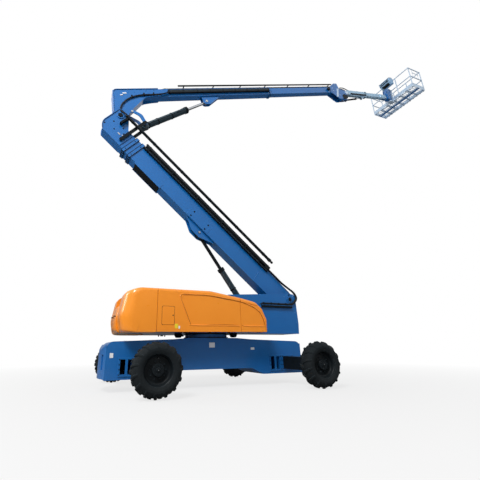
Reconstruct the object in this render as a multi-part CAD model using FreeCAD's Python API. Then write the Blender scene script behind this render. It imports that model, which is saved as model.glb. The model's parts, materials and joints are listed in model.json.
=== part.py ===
"""Articulating boom lift: a 13 m high work platform on a two-piece telescoping boom.

Millimetres, +Z up. The origin is on the ground on the slew axis. +X is the
direction in which the booms reach, and -Y is the side of the near cover.
"""
import FreeCAD, Part
import math
import os
from FreeCAD import Rotation, Vector

os.makedirs("parts", exist_ok=True)

flat_turn = 18.0            # degrees that each short flat of a rounded corner turns
round_sides = 20            # of the bars and barrels that are built with flat sides

# Running gear
chassis_length = 5800.0
chassis_width = 1240.0
axle_inset = 728.5          # from the chassis's end to the mean wheel centre there
wheelbase = chassis_length - 2 * axle_inset
track = 4141.0              # between tyre centres, axles extended
channel_pitch = 420.0       # between the two beams that lie side by side at one end
tyre_diameter = 1150.0
tyre_width = 420.0
rim_diameter = 650.0
rim_disc_y = 20.0           # the disc's inner face, outward of the tyre's middle
rim_disc = 30.0
rim_wall = 14.0
hub_radius = 140.0
hub_cap_y = 130.0           # outer face of the hub
spindle_foot = 190.0        # wheel centre to the knuckle's flange
lug_height = 32.0
lug_count = 15              # on each side of a tyre
lug_width = 66.0
lug_slant = 85.0            # how far round a lug's outer end lies from its inner end
wheel_inset = 345.0         # from kingpin to wheel centre
beam_height = 340.0
beam_width = 300.0
beam_stroke = 750.0         # how far an axle beam retracts
beam_hold = chassis_width - beam_stroke - 40    # of the extended beam inside the chassis
kingpin_radius = 55.0
kingpin_overhang = 30.0
knuckle_half = 85.0
jaw_half = 110.0
jaw_reach = 120.0           # gap between the beam's end and the kingpin
beam_wall = 14.0
jaw_height = 50.0
steering_arm = 195.0        # from kingpin to the steering cylinder's pin
hub_bore = 52.0
slide_gap = 6.0             # running clearance of sliding sections
seat_gap = 0.3              # between faces of two bodies that turn on each other

# Chassis
chassis_bottom = 455.0
axle_box_bottom = 285.0
chassis_end_top = 1170.0
chassis_mid_top = 1265.0
chassis_plate = 25.0
end_bulge = 110.0
bulge_flats = 9
tie_hole_radius = 35.0
tie_wall = 25.0
tie_recess_half = 65.0
tie_hole_spread = 860.0
tie_hole_heights = (580.0, 800.0)
mouth_frame = 45.0          # flange round each beam's opening
mouth_frame_out = 22.0
mouth_strap = 60.0

# Turntable
ring_radius = 640.0
ring_bottom = 1360.0        # where the turning half of the slew ring begins
ring_top = 1400.0
ring_flats = 48
ring_tooth_height = 24.0
base_top = 1450.0
side_plate_y = 410.0        # inner face of the two long plates
side_plate = 30.0
table_front = 3060.0
table_rear = -2450.0
table_width = 2500.0
cover_inner_y = 470.0
cover_wall = 30.0
cover_side_wall = 50.0      # deep enough for the rounded edge
cover_bottom = 1380.0
cover_top = 2470.0
cover_round = 75.0          # radius of the covers' outer edges
cover_recess = 12.0
hood_brackets = (-1650.0, -600.0)
hood_bracket = 80.0
hood_barrel = 14.0
hood_pin = 7.0
hood_eye = 13.0             # half the square eye of each bracket
cover_joint = 10.0          # gap between neighbouring panels
lower_pin_radius = 62.0
lift_ear_y = 100.0
lift_pin_radius = 45.0
lift_base = (1690.0, 1750.0)
shelf_drop = 210.0          # below the boom's foot pin
shelf_length = 1130.0       # ledge on which the hoses lie
shelf_depth = 70.0

# Lower boom
lower_pivot = (2800.0, 2480.0)
lower_rise = 41.1           # degrees above the horizontal, leaning to -X
lower_width = 420.0
lower_depth = 664.0
lower_wall = 14.0
lower_head = 8280.0         # along the boom to the knuckle pin
lower_outer_end = lower_head - 950.0
knuckle_offset = 520.0      # from the boom's axis to the knuckle pin

# Upper boom
upper_rise = 20.3
upper_width = 280.0
upper_depth = 325.0
upper_wall = 10.0
upper_offset = 936.0        # from knuckle pin to the boom's axis
upper_outer_end = 6950.0
jib_reach = 11870.0         # along the upper boom to the jib pin
jib_offset = 737.0
upper_face = jib_reach - 470.0      # the flat face of the bracket at its head
head_drop = 556.0           # that bracket below and above the boom's axis
head_rise = 354.0

# Jib and platform
jib_length = 3040.0
jib_rise = 14.1
jib_width = 200.0
jib_depth = 240.0
jib_outer_end = 1500.0
jib_inner_start = 900.0
jib_middle = 60.0           # the jib's axis above the line of its pins
platform_width = 2440.0
platform_depth = 910.0
platform_reach = 675.0      # from the rotary drive to the middle of the floor
floor_rise = 125.1          # of the floor above the levelling pin
rail_height = 1150.0
rail_radius = 17.0
toe_height = 110.0
grating_bars = 22
jaw_plate = 45.0            # each of the two plates that grip the rotary drive
swivel_reach = 437.2        # from the levelling pin to the rotary drive
drive_radius = 105.0
drive_length = 760.0
drive_drop = 90.0           # of its lower end below the levelling pin


def box(x0, x1, y0, y1, z0, z1):
    return Part.makeBox(x1 - x0, y1 - y0, z1 - z0, Vector(x0, y0, z0))


def both(y0, y1, make):
    """The same piece on both sides of the centre plane."""
    return [make(y0, y1), make(-y1, -y0)]


def rod(start, end, radius):
    """A bar between two points, with many flat sides just inside its radius."""
    a, b = Vector(*start), Vector(*end)
    turn = Rotation(Vector(0, 0, 1), b - a)
    angles = [2 * math.pi * i / round_sides for i in range(round_sides + 1)]
    ring = [a + turn.multVec(Vector(radius * math.cos(t), radius * math.sin(t), 0)) for t in angles]
    return Part.Face(Part.makePolygon(ring)).extrude(b - a)


def pin(at, radius, y0, y1):
    """A round bar along Y at the point (x, z)."""
    return Part.makeCylinder(radius, y1 - y0, Vector(at[0], y0, at[1]), Vector(0, 1, 0))


def outline(points, radii=None, smooth=False):
    """A closed flat face in the XZ plane; radii rounds the corners, with arcs or in a few flats."""
    count = len(points)
    radii = radii or [0.0] * count
    corners = [Vector(p[0], 0, p[1]) for p in points]
    edges, ends = [], []
    for i, corner in enumerate(corners):
        before = (corners[i - 1] - corner).normalize()
        after = (corners[(i + 1) % count] - corner).normalize()
        if radii[i] <= 0:
            ends.append((corner, None, corner))
            continue
        half = before.getAngle(after) / 2
        cut = radii[i] / math.tan(half)
        middle = (before + after).normalize() * (radii[i] / math.sin(half) - radii[i])
        ends.append((corner + before * cut, corner + middle, corner + after * cut))
    for i, (start, middle, end) in enumerate(ends):
        if middle is not None:
            arc = Part.Arc(start, middle, end).toShape()
            turn = math.degrees(arc.Length / radii[i])
            flats = max(2, math.ceil(turn / (flat_turn if radii[i] >= 100 else 2 * flat_turn)))
            edges += [arc] if smooth else Part.makePolygon(arc.discretize(flats + 1)).Edges
        following = ends[(i + 1) % count][0]
        if (following - end).Length > 1e-6:
            edges.append(Part.LineSegment(end, following).toShape())
    return Part.Face(Part.Wire(edges))


def plate(points, y0, y1, radii=None, smooth=False):
    """A profile in the XZ plane carried from y0 to y1."""
    face = outline(points, radii, smooth)
    face.translate(Vector(0, y0, 0))
    return face.extrude(Vector(0, y1 - y0, 0))


def union(shapes):
    shapes = list(shapes)
    result = shapes[0].multiFuse(shapes[1:]) if len(shapes) > 1 else shapes[0]
    return result.removeSplitter()


def save(name, shapes):
    """Write a node: solids that don't touch stay separate solids."""
    shapes = shapes if isinstance(shapes, list) else [shapes]
    solids = [solid for shape in shapes for solid in shape.Solids]
    shape = solids[0] if len(solids) == 1 else Part.makeCompound(solids)
    shape.exportStep("parts/" + name + ".step")


class Frame:
    """A boom's own axes: s runs along the boom and n away from its top side."""

    def __init__(self, origin, degrees, side):
        angle = math.radians(degrees)
        self.origin = origin
        self.along = (math.cos(angle), math.sin(angle))
        self.across = (-side * math.sin(angle), side * math.cos(angle))

    def at(self, s, n):
        return (self.origin[0] + s * self.along[0] + n * self.across[0],
                self.origin[1] + s * self.along[1] + n * self.across[1])

    def local(self, point):
        dx, dz = point[0] - self.origin[0], point[1] - self.origin[1]
        return (dx * self.along[0] + dz * self.along[1], dx * self.across[0] + dz * self.across[1])

    def bar(self, s0, s1, n0, n1, y0, y1):
        corners = [(s0, n0), (s1, n0), (s1, n1), (s0, n1)]
        return plate([self.at(*c) for c in corners], y0, y1)

    def shape(self, points, y0, y1, radii=None):
        return plate([self.at(*p) for p in points], y0, y1, radii)

    def tube(self, s0, s1, middle, depth, width, wall):
        """A square boom section, open at both ends."""
        half = depth / 2
        outer = self.bar(s0, s1, middle - half, middle + half, -width / 2, width / 2)
        inner = self.bar(s0 - 10, s1 + 10, middle - half + wall, middle + half - wall,
                         -width / 2 + wall, width / 2 - wall)
        return outer.cut(inner)


lower = Frame(lower_pivot, 180.0 - lower_rise, -1)
knuckle_pin = lower.at(lower_head, knuckle_offset)
upper = Frame(knuckle_pin, upper_rise, 1)
jib_pin = upper.at(jib_reach, jib_offset)
jib = Frame(jib_pin, jib_rise, 1)
level_pin = jib.at(jib_length, 0)
swivel_x = level_pin[0] + swivel_reach
platform_centre = swivel_x + platform_reach
floor_top = level_pin[1] + floor_rise

# Each corner of the running gear: name, end (+1 front), side (-1 near)
corners = [("front_near", 1, -1), ("front_far", 1, 1), ("rear_near", -1, -1), ("rear_far", -1, 1)]
wheel_facets = 2 * lug_count
axle_height = tyre_diameter / 2
wheel_y = track / 2
kingpin_y = wheel_y - wheel_inset


def beam_x(end, side):
    return end * wheelbase / 2 - side * channel_pitch / 2


def flat(points, low, high):
    """A plan-view outline carried from one height to another."""
    vertices = [Vector(x, y, low) for x, y in points]
    return Part.Face(Part.makePolygon(vertices + vertices[:1])).extrude(Vector(0, 0, high - low))


def chassis():
    half, length = chassis_width / 2, chassis_length / 2
    box_start = length - 1360
    low = [(-length, axle_box_bottom), (-box_start, axle_box_bottom), (-box_start + 370, chassis_bottom),
           (box_start - 370, chassis_bottom), (box_start, axle_box_bottom), (length, axle_box_bottom)]
    top = [(length, chassis_end_top), (1180, chassis_end_top + 60), (700, chassis_mid_top),
           (-700, chassis_mid_top), (-1180, chassis_end_top + 60), (-length, chassis_end_top)]
    body = plate(low + top, -half, half, [0, 0, 0, 0, 0, 0, 180, 0, 0, 0, 0, 180])
    hollow = box_start - 420
    body = body.cut(box(-hollow, hollow, -half + chassis_plate, half - chassis_plate,
                        chassis_bottom + chassis_plate, chassis_end_top + 30))
    w, h = beam_width / 2 + slide_gap, beam_height / 2 + slide_gap
    sill = axle_height - beam_height / 2 - seat_gap
    frames, channels = [], []
    for _, end, side in corners:
        x, frame = beam_x(end, side), mouth_frame
        frames += both(half - 1, half + mouth_frame_out, lambda a, b: box(
            x - w - frame, x + w + frame, a, b, sill - frame, axle_height + h + frame))
        channels.append(box(x - w, x + w, -half - 90, half + 90, sill, axle_height + h))
    body = union([body] + frames)
    for channel in channels:
        body = body.cut(channel)
    straps = []
    for _, end, side in corners:
        x, edge = beam_x(end, side), -side * (half + mouth_frame_out / 2)
        straps.append(box(x - mouth_strap / 2, x + mouth_strap / 2, edge - mouth_frame_out / 2,
                          edge + mouth_frame_out / 2, sill - 1, axle_height + h + 1))
    pedestal = Part.makeCylinder(ring_radius - 20, ring_bottom - seat_gap - chassis_mid_top + 2,
                                 Vector(0, 0, chassis_mid_top - 2))
    return union([body, pedestal] + straps)


def end_plate(end):
    """The bulging cover of one end, with two tie-down holes in a pocket near each edge."""
    half, length = chassis_width / 2, chassis_length / 2
    start = length + seat_gap
    low, high = axle_box_bottom + 20, chassis_end_top - 60
    a, b = Vector(start, -half, low), Vector(start, half, low)
    bulge = Part.Arc(a, Vector(start + end_bulge, 0, low), b).toShape().discretize(bulge_flats + 1)
    shell = Part.Face(Part.makePolygon(bulge + bulge[:1])).extrude(Vector(0, 0, high - low))
    top, front = high - 150, start + end_bulge + 1
    shell = shell.common(plate([(start - 1, low - 1), (front, low - 1), (front, top), (start - 1, high)],
                               -half, half, [0, 0, 160, 0]))
    for y in (-tie_hole_spread / 2, tie_hole_spread / 2):
        shell = shell.cut(box(start + tie_wall, front, y - tie_recess_half, y + tie_recess_half,
                              tie_hole_heights[0] - tie_recess_half, tie_hole_heights[1] + tie_recess_half))
        for z in tie_hole_heights:
            place = Vector(start - 10, y, z)
            shell = shell.cut(Part.makeCylinder(tie_hole_radius, 100, place, Vector(1, 0, 0)))
    if end < 0:
        shell.rotate(Vector(0, 0, 0), Vector(0, 0, 1), 180)
    return shell


def axle_beam(end, side):
    x = beam_x(end, side)
    w, h = beam_width / 2, beam_height / 2
    root = chassis_width / 2 - beam_hold
    tip = kingpin_y - jaw_reach
    beam = box(x - w, x + w, root, tip, axle_height - h, axle_height + h)
    beam = beam.cut(box(x - w + beam_wall, x + w - beam_wall, root - 1, tip - 40,
                        axle_height - h + beam_wall, axle_height + h - beam_wall))
    nose = [(x - jaw_half, tip - 1), (x - jaw_half, kingpin_y + 45), (x - 60, kingpin_y + 100),
            (x + 60, kingpin_y + 100), (x + jaw_half, kingpin_y + 45), (x + jaw_half, tip - 1)]
    jaws = [flat(nose, z, z + jaw_height) for z in (axle_height - h, axle_height + h - jaw_height)]
    shape = union([beam] + jaws)
    shape = shape.cut(Part.makeCylinder(kingpin_radius, 900, Vector(x, kingpin_y, 100)))
    return shape if side > 0 else mirror_y(shape)


def mirror_y(shape):
    return shape.mirror(Vector(0, 0, 0), Vector(0, 1, 0))


def turned(section, facets):
    """A faceted body about the Y axis through its rings of (radius, offset along Y)."""
    rings = []
    for radius, offset in section:
        angles = [2 * math.pi * i / facets for i in range(facets)]
        rings.append([Vector(radius * math.cos(a), offset, radius * math.sin(a)) for a in angles])
    loops = [rings[0], rings[-1]]
    for ring, following in zip(rings, rings[1:]):
        for i in range(facets):
            j = (i + 1) % facets
            loops.append([ring[i], ring[j], following[j], following[i]])
    shell = Part.makeShell([Part.Face(Part.makePolygon(loop + loop[:1])) for loop in loops])
    shell.sewShape()
    solid = Part.makeSolid(shell)
    if solid.Volume < 0:
        solid.reverse()
    return solid


def knuckle(end, side):
    """The upright on its kingpin, with the wheel's spindle and a steering arm."""
    x, half = beam_x(end, side), knuckle_half
    reach = beam_height / 2 - jaw_height - seat_gap
    pin_reach = beam_height / 2 + kingpin_overhang
    post = box(x - half, x + half, kingpin_y - half, kingpin_y + half,
               axle_height - reach, axle_height + reach)
    king = rod((x, kingpin_y, axle_height - pin_reach), (x, kingpin_y, axle_height + pin_reach),
               kingpin_radius - seat_gap)
    flange = turned([(105, half - 1), (105, wheel_inset - spindle_foot)], 16)
    flange.translate(Vector(x, kingpin_y, axle_height))
    spindle = rod((x, kingpin_y, axle_height), (x, kingpin_y + wheel_inset + 60, axle_height),
                  hub_bore - seat_gap)
    tip = -end * steering_arm
    arm = box(x + min(0, tip), x + max(0, tip), kingpin_y + 15, kingpin_y + 75,
              axle_height - 20, axle_height + 20)
    shape = union([post, king, flange, spindle, arm])
    return shape if side > 0 else mirror_y(shape)


def tyre(end, side):
    """Faceted carcass, with two rows of slanted lugs in alternation."""
    outer, half = tyre_diameter / 2, tyre_width / 2
    bead = rim_diameter / 2 + seat_gap
    base = outer - lug_height
    shoulder = base - 110
    carcass = turned([(bead + 60, -half * 0.90), (shoulder, -half), (base, -half * 0.62),
                      (base, half * 0.62), (shoulder, half), (bead + 60, half * 0.90)], wheel_facets)
    bore = turned([(bead, -half), (bead, half)], wheel_facets)
    profile = [(base - 30, 10), (outer, 10), (outer - 5, half * 0.82), (base - 55, half),
               (base - 85, half), (base - 85, half * 0.6)]
    middle = -lug_width / 2
    face = Part.Face(Part.makePolygon(
        [Vector(middle + lug_slant * w / half, w, r) for r, w in profile + profile[:1]]))
    lug = face.extrude(Vector(lug_width, 0, 0))
    step = 360.0 / lug_count
    lugs = []
    for i in range(lug_count):
        for piece, start in ((lug.copy(), 0.0), (mirror_y(lug), step / 2)):
            piece.rotate(Vector(0, 0, 0), Vector(0, 1, 0), start + i * step)
            lugs.append(piece)
    shape = union([carcass.cut(bore)] + lugs)
    shape.translate(Vector(beam_x(end, side), side * wheel_y, axle_height))
    return shape


def rim(end, side):
    """The dished wheel: barrel, disc, and the hub with its bore."""
    radius, edge = rim_diameter / 2, tyre_width * 0.36
    well, outside = radius - rim_wall, rim_disc_y + rim_disc
    wheel = turned([(radius, -edge), (radius, edge)], wheel_facets)
    inboard = turned([(well, -edge - 1), (well - rim_wall, rim_disc_y)], lug_count)
    outboard = turned([(well, edge + 1), (well - rim_wall, outside)], lug_count)
    hub = turned([(hub_radius - 15, -110), (hub_radius, rim_disc_y), (hub_radius, outside),
                  (hub_radius - 15, hub_cap_y)], 12)
    wheel = union([wheel.cut(inboard).cut(outboard), hub])
    wheel = wheel.cut(Part.makeCylinder(hub_bore, 400, Vector(0, -200, 0), Vector(0, 1, 0)))
    wheel = wheel if side > 0 else mirror_y(wheel)
    wheel.translate(Vector(beam_x(end, side), side * wheel_y, axle_height))
    return wheel


def slew_ring():
    """The bearing ring with its row of teeth as flats, and the bolted flange above them."""
    teeth = ring_sides(ring_radius, ring_bottom, ring_bottom + ring_tooth_height)
    flange = ring_sides(ring_radius - 25, ring_bottom + ring_tooth_height - 1, ring_top)
    return union([teeth, flange])


def ring_sides(radius, low, high):
    angles = [2 * math.pi * i / ring_flats for i in range(ring_flats)]
    return flat([(radius * math.cos(a), radius * math.sin(a)) for a in angles], low, high)


def turntable():
    """Deck and the two long plates between which the boom stands, with the lift cylinder's ears."""
    half = table_width / 2 - cover_side_wall - seat_gap
    outer = side_plate_y + side_plate
    low = ring_top + seat_gap
    deck = box(table_rear + 100, cover_tip - 250, -half, half, low, base_top - 10)
    floor = box(table_rear + 60, table_front - 60, -outer, outer, low, base_top)
    x, z = lower_pivot
    side = [(table_rear, low), (table_front, low), (table_front + 20, z - 760), (table_front - 20, z + 180),
            (x - 500, z + 160), (560, z + 50), (200, z - 280), (-1700, z - 330),
            (table_rear + 200, z - 40), (table_rear + 50, z - 100)]
    plates = both(side_plate_y, outer,
                  lambda a, b: plate(side, a, b, [0, 0, 0, 120, 0, 90, 0, 0, 0, 0]))
    shelf, start = z - shelf_drop, x - shelf_length
    shelves = both(outer - 1, outer + shelf_depth, lambda a, b: box(start, x, a, b, shelf - 12, shelf))
    shelves += both(outer - 1, outer + shelf_depth - 10,
                    lambda a, b: box(start, start + 12, a, b, shelf - 90, shelf))
    bosses = both(outer, outer + 25, lambda a, b: pin(lower_pivot, 110, a, b))
    axis, eye = cover_top - cover_wall / 2, hood_eye
    hinges = []
    for start in hood_brackets:
        stop = start + hood_bracket
        hinges += both(outer - 5, outer + 12, lambda a, b: box(start, stop, a, b, z - 480, axis))
        hinges += both(outer - 5, cover_inner_y + eye,
                       lambda a, b: box(start, stop, a, b, axis - eye, axis + eye))
    hinge_bores = [Part.makeCylinder(hood_pin + seat_gap, 4000, Vector(-3000, y, axis), Vector(1, 0, 0))
                   for y in (-cover_inner_y, cover_inner_y)]
    cross = [box(start, start + side_plate, -outer, outer, base_top - 1, height)
             for start, height in ((table_front - 60, z - 280), (lift_base[0] - 990, base_top + 150))]
    x, z = lift_base
    ears = both(lift_ear_y, lift_ear_y + 30, lambda a, b: plate(
        [(x - 170, base_top - 5), (x + 170, base_top - 5), (x + 90, z + 90), (x - 90, z + 90)],
        a, b, [0, 0, 85, 85]))
    stubs = both(lift_ear_y + 1, lift_ear_y + 45, lambda a, b: pin(lift_base, lift_pin_radius, a, b))
    hinges = [union(hinges[i:i + 4]).cut(Part.makeCompound(hinge_bores)) for i in range(0, len(hinges), 4)]
    shape = union([deck, floor] + plates + shelves + bosses + hinges + cross + ears + stubs)
    return shape.cut(pin(lower_pivot, lower_pin_radius, -600, 600))


cover_tip = 1400.0
cover_profile = [(-2590, cover_bottom), (cover_tip - 10, cover_bottom + 30), (cover_tip, 1740),
                 (1260, 2050), (1050, 2230), (560, 2330), (-330, cover_top), (-2120, cover_top),
                 (-2360, 2380), (-2680, 1660)]
cover_radii = [0, 0, 120, 160, 300, 0, 500, 200, 200, 120]
cover_cuts = (-1810.0, 550.0)   # the two gaps between the panels
panel_profile = [(-940, 1560), (1600, 1560), (1600, 2140), (1010, 2140), (520, 2245), (-400, 2360),
                 (-1200, 2350)]
door_profile = [(-1690, 1550), (-1350, 1550), (-1350, 2020), (-1690, 2020)]


def cover_shell(y0, y1):
    """The whole side cover as a thin shell, open on its inner side and below."""
    solid = plate(cover_profile, y0, y1, cover_radii, smooth=True)
    rim_edges = [edge for edge in solid.Edges
                 if abs(edge.CenterOfMass.y - y1) < 1 and edge.CenterOfMass.z > cover_bottom + 60]
    solid = solid.makeFillet(cover_round, rim_edges)
    inner = [(x + (cover_wall if x < 0 else -cover_wall), z - (cover_wall if z > 1500 else 60))
             for x, z in cover_profile]
    shell = solid.cut(plate(inner, y0 - 10, y1 - cover_side_wall))
    recess = plate(panel_profile, y1 - cover_recess, y1 + 10, [60, 0, 0, 150, 300, 300, 120])
    tip = plate([(cover_tip - 90, 0), (cover_tip + 90, 0), (cover_tip + 90, 3000), (cover_tip - 90, 3000)],
                y1 - cover_recess - 1, y1 + 20)
    door = plate(door_profile, y1 - 3, y1 + 10).cut(
        plate([(-1682, 1558), (-1358, 1558), (-1358, 2012), (-1682, 2012)], y1 - 5, y1 + 20))
    return shell.cut(recess.cut(tip)).cut(door)


def cover_part(index):
    """Rear, middle or front part of the cover on the +Y side."""
    whole = cover_shell(cover_inner_y, table_width / 2)
    gap = cover_joint / 2
    spans = [(-4000, cover_cuts[0] - gap), (cover_cuts[0] + gap, cover_cuts[1] - gap),
             (cover_cuts[1] + gap, 4000)]
    lo, hi = spans[index]
    part = whole.common(box(lo, hi, 0, 3000, 0, 4000))
    if index != 1:
        return part
    z = cover_top - cover_wall / 2
    pieces = []
    for x in hood_brackets:
        part = part.cut(box(x - 6, x + hood_bracket + 6, 0, cover_inner_y + 3 * hood_eye, z - 30, z + 30))
        start = Vector(x + hood_bracket + 10, cover_inner_y, z)
        pieces.append(Part.makeCylinder(hood_barrel, hood_bracket, start, Vector(1, 0, 0)))
        pieces.append(Part.makeCylinder(hood_pin, hood_bracket + 16, start + Vector(1, 0, 0),
                                        Vector(-1, 0, 0)))
    return union([part] + pieces)


def lower_outer():
    tube = lower.tube(-60, lower_outer_end, 0, lower_depth, lower_width, lower_wall)
    half = lower_depth / 2
    deep = both(lower_width / 2, lower_width / 2 + 10,
                lambda a, b: lower.bar(lower_outer_end - 1730, lower_outer_end - 590, -half - 45,
                                        -half + 160, a, b))
    pad = lower_wall + slide_gap - seat_gap
    collars = [lower.tube(s, s + 90, 0, lower_depth + 50, lower_width + 50, pad + 25)
               for s in (lower_outer_end - 350, lower_outer_end - 90)]
    s = lift_eye_s
    lug = [(s - 670, -half + 4), (s + 680, -half + 4), (s + 230, -half - 240), (s - 110, -half - 240)]
    lugs = both(95, 125, lambda a, b: lower.shape(lug, a, b, [0, 0, 90, 90]))
    lugs = [piece.cut(pin(lift_eye, lift_size["eye_pin"] + seat_gap, -200, 200)) for piece in lugs]
    foot = [(-300, -220), (-300, 220), (60, half), (1300, half), (1300, -half), (200, -half)]
    feet = both(lower_width / 2 - lower_wall, lower_width / 2 + 12,
                lambda a, b: lower.shape(foot, a, b, [140, 140, 60, 0, 0, 120]))
    shape = union([tube] + deep + collars + lugs + feet)
    shaft = pin(lower_pivot, lower_pin_radius - seat_gap, -side_plate_y - side_plate - 40,
                side_plate_y + side_plate + 40)
    return union([shape, shaft])


lift_eye_s = 3670.0
lift_eye = lower.at(lift_eye_s, -440)
lift_barrel = 2050.0
link_root = lower.at(lower_head - 680, -127)
link_tip = (knuckle_pin[0] + 830, knuckle_pin[1] - 60)
arm_root = (knuckle_pin[0] + 370, knuckle_pin[1] + 310)
upper_eye_s = 3600.0
upper_eye = upper.at(upper_eye_s, 560)
upper_barrel = 1980.0


def between(start, end):
    """Axes that run from one point (x, z) to another, and their distance."""
    dx, dz = end[0] - start[0], end[1] - start[1]
    return Frame(start, math.degrees(math.atan2(dz, dx)), 1), math.hypot(dx, dz)


def eye_block(axes, at, turn, radius, half):
    """A cylinder's end: a plate with one round end about its pin, and its flat end along turn."""
    points = [(at - turn * radius, -radius), (at + turn * radius * 1.3, -radius),
              (at + turn * radius * 1.3, radius), (at - turn * radius, radius)]
    return axes.shape(points, -half, half, [radius * 0.98, 0, 0, radius * 0.98])


def bar_along(axes, start, stop, radius):
    a, b = axes.at(start, 0), axes.at(stop, 0)
    return rod((a[0], 0, a[1]), (b[0], 0, b[1]), radius)


def cylinder_barrel(base, eye, length, size):
    """Barrel with base eye, pin and gland, bored for its rod; size is a row of the table below."""
    axes, _ = between(base, eye)
    shape = union([
        bar_along(axes, size["barrel"] * 1.2, length, size["barrel"]),
        bar_along(axes, length - 110, length, size["barrel"] + size["gland"]),
        eye_block(axes, 0, 1, size["barrel"], size["base_half"]),
        pin(base, size["base_pin"], -size["base_reach"], size["base_reach"])])
    return shape.cut(bar_along(axes, size["barrel"] * 1.5, length + 10, size["rod"] + seat_gap))


def cylinder_rod(base, eye, inside, size):
    """Rod that reaches back into its barrel, with its eye and pin."""
    axes, length = between(base, eye)
    radius = size["rod"] * 1.7
    return union([
        bar_along(axes, inside, length - radius * 1.2, size["rod"]),
        eye_block(axes, length, -1, radius, size["eye_half"]),
        pin(eye, size["eye_pin"], -size["eye_reach"], size["eye_reach"])])


# Radii, half widths of the eyes, and how far each pin reaches from the middle
lift_size = {"barrel": 95.0, "rod": 55.0, "gland": 14.0, "base_half": 99.7, "base_pin": 45.0,
             "base_reach": 99.7, "eye_half": 94.7, "eye_pin": 40.0, "eye_reach": 140.0}
upper_size = {"barrel": 110.0, "rod": 50.0, "gland": 14.0, "base_half": 100.0, "base_pin": 45.0,
              "base_reach": 165.0, "eye_half": 55.0, "eye_pin": 40.0, "eye_reach": 86.0}
jib_size = {"barrel": 42.0, "rod": 22.0, "gland": 8.0, "base_half": 43.7, "base_pin": 25.0,
            "base_reach": 43.7, "eye_half": 41.7, "eye_pin": 20.0, "eye_reach": 70.0}
jib_barrel = 800.0
# How far from each cylinder's foot its rod begins, at rest
lift_rod_start = 1200.0
upper_rod_start = 1300.0
jib_rod_start = 415.0


def lower_inner():
    """The inner section, with the knuckle plates that carry the upper boom."""
    depth = lower_depth - 2 * (lower_wall + slide_gap)
    width = lower_width - 2 * (lower_wall + slide_gap)
    head, half = lower_head, depth / 2
    tube = lower.tube(lower_inner_start, head - 380, 0, depth, width, 12)
    crown = knuckle_offset + 200
    profile = [(head - 800, -half), (head - 20, -half), (head + 170, -100), (head + 200, crown),
               (head - 200, crown), (head - 580, half), (head - 800, half)]
    plates = both(width / 2 - 2, knuckle_y, lambda a, b: lower.shape(profile, a, b,
                                                                  [0, 120, 120, 195, 195, 60, 0]))
    webs = [lower.bar(head - 800, head - 30, -half, -half + 16, -width / 2, width / 2),
            lower.bar(head - 396, head - 380, -half, half, -width / 2, width / 2)]
    bosses = both(knuckle_y, knuckle_y + 24, lambda a, b: pin(link_root, 75, a, b))
    bosses += both(knuckle_y, knuckle_y + 30, lambda a, b: pin(knuckle_pin, 120, a, b))
    shaft = pin(knuckle_pin, 60, -knuckle_y, knuckle_y)
    return union([tube] + plates + webs + bosses + [shaft])


lower_inner_start = 2300.0
knuckle_y = 220.0


def upper_link():
    """The pair of bars from the knuckle's foot to the upper boom's cylinder."""
    start = knuckle_y + 24 + seat_gap
    axes, length = between(link_root, link_tip)
    bars = both(start, start + 28, lambda a, b: axes.shape(
        [(-60, -55), (length + 60, -55), (length + 60, 55), (-60, 55)], a, b, [50, 50, 50, 50]))
    return bars


def upper_arm():
    """The pair of curved arms from the gooseneck to the cylinder's foot."""
    inner = gooseneck_y + seat_gap
    axes, length = between(arm_root, link_tip)
    profile = [(-70, -60), (length * 0.45, 60), (length + 60, -50), (length + 60, 60),
               (length * 0.5, 190), (-70, 60)]
    return both(inner + 10, inner + 34, lambda a, b: union(
        [axes.shape(profile, a, b, [50, 150, 40, 40, 200, 50])]
        + [pin(arm_root, 55, *((inner, b) if a > 0 else (a, -inner)))]))


gooseneck_y = 170.0


def upper_outer():
    middle, half = upper_offset, upper_depth / 2
    tube = upper.tube(40, upper_outer_end, middle, upper_depth, upper_width, upper_wall)
    neck = [(-165, -165), (165, -165), (420, 200), (1050, 690), (1700, middle - half),
            (1700, middle + half), (30, middle + half), (-150, 300)]
    necks = both(upper_width / 2 - 2, gooseneck_y, lambda a, b: upper.shape(
        neck, a, b, [160, 160, 0, 150, 0, 0, 130, 0]))
    webs = [upper.shape([(-140, 300), (38, middle + half), (60, middle + half), (-118, 300)],
                        -upper_width / 2, upper_width / 2),
            upper.shape([(425, 205), (1055, 695), (1045, 710), (415, 220)],
                        -upper_width / 2, upper_width / 2)]
    s = upper_eye_s
    lug = [(s - 160, middle - half + 4), (s - 160, 430), (s + 120, 430), (s + 730, middle - half + 4)]
    lugs = both(62, 86, lambda a, b: upper.shape(lug, a, b, [0, 110, 110, 0]))
    collar = upper.tube(upper_outer_end - 80, upper_outer_end, middle, upper_depth + 36, upper_width + 36,
                        upper_wall + slide_gap - seat_gap + 18)
    shape = union([tube] + necks + webs + lugs + [collar])
    shape = shape.cut(pin(knuckle_pin, 60 + seat_gap, -400, 400))
    return shape.cut(pin(upper_eye, 40 + seat_gap, -400, 400))


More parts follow.
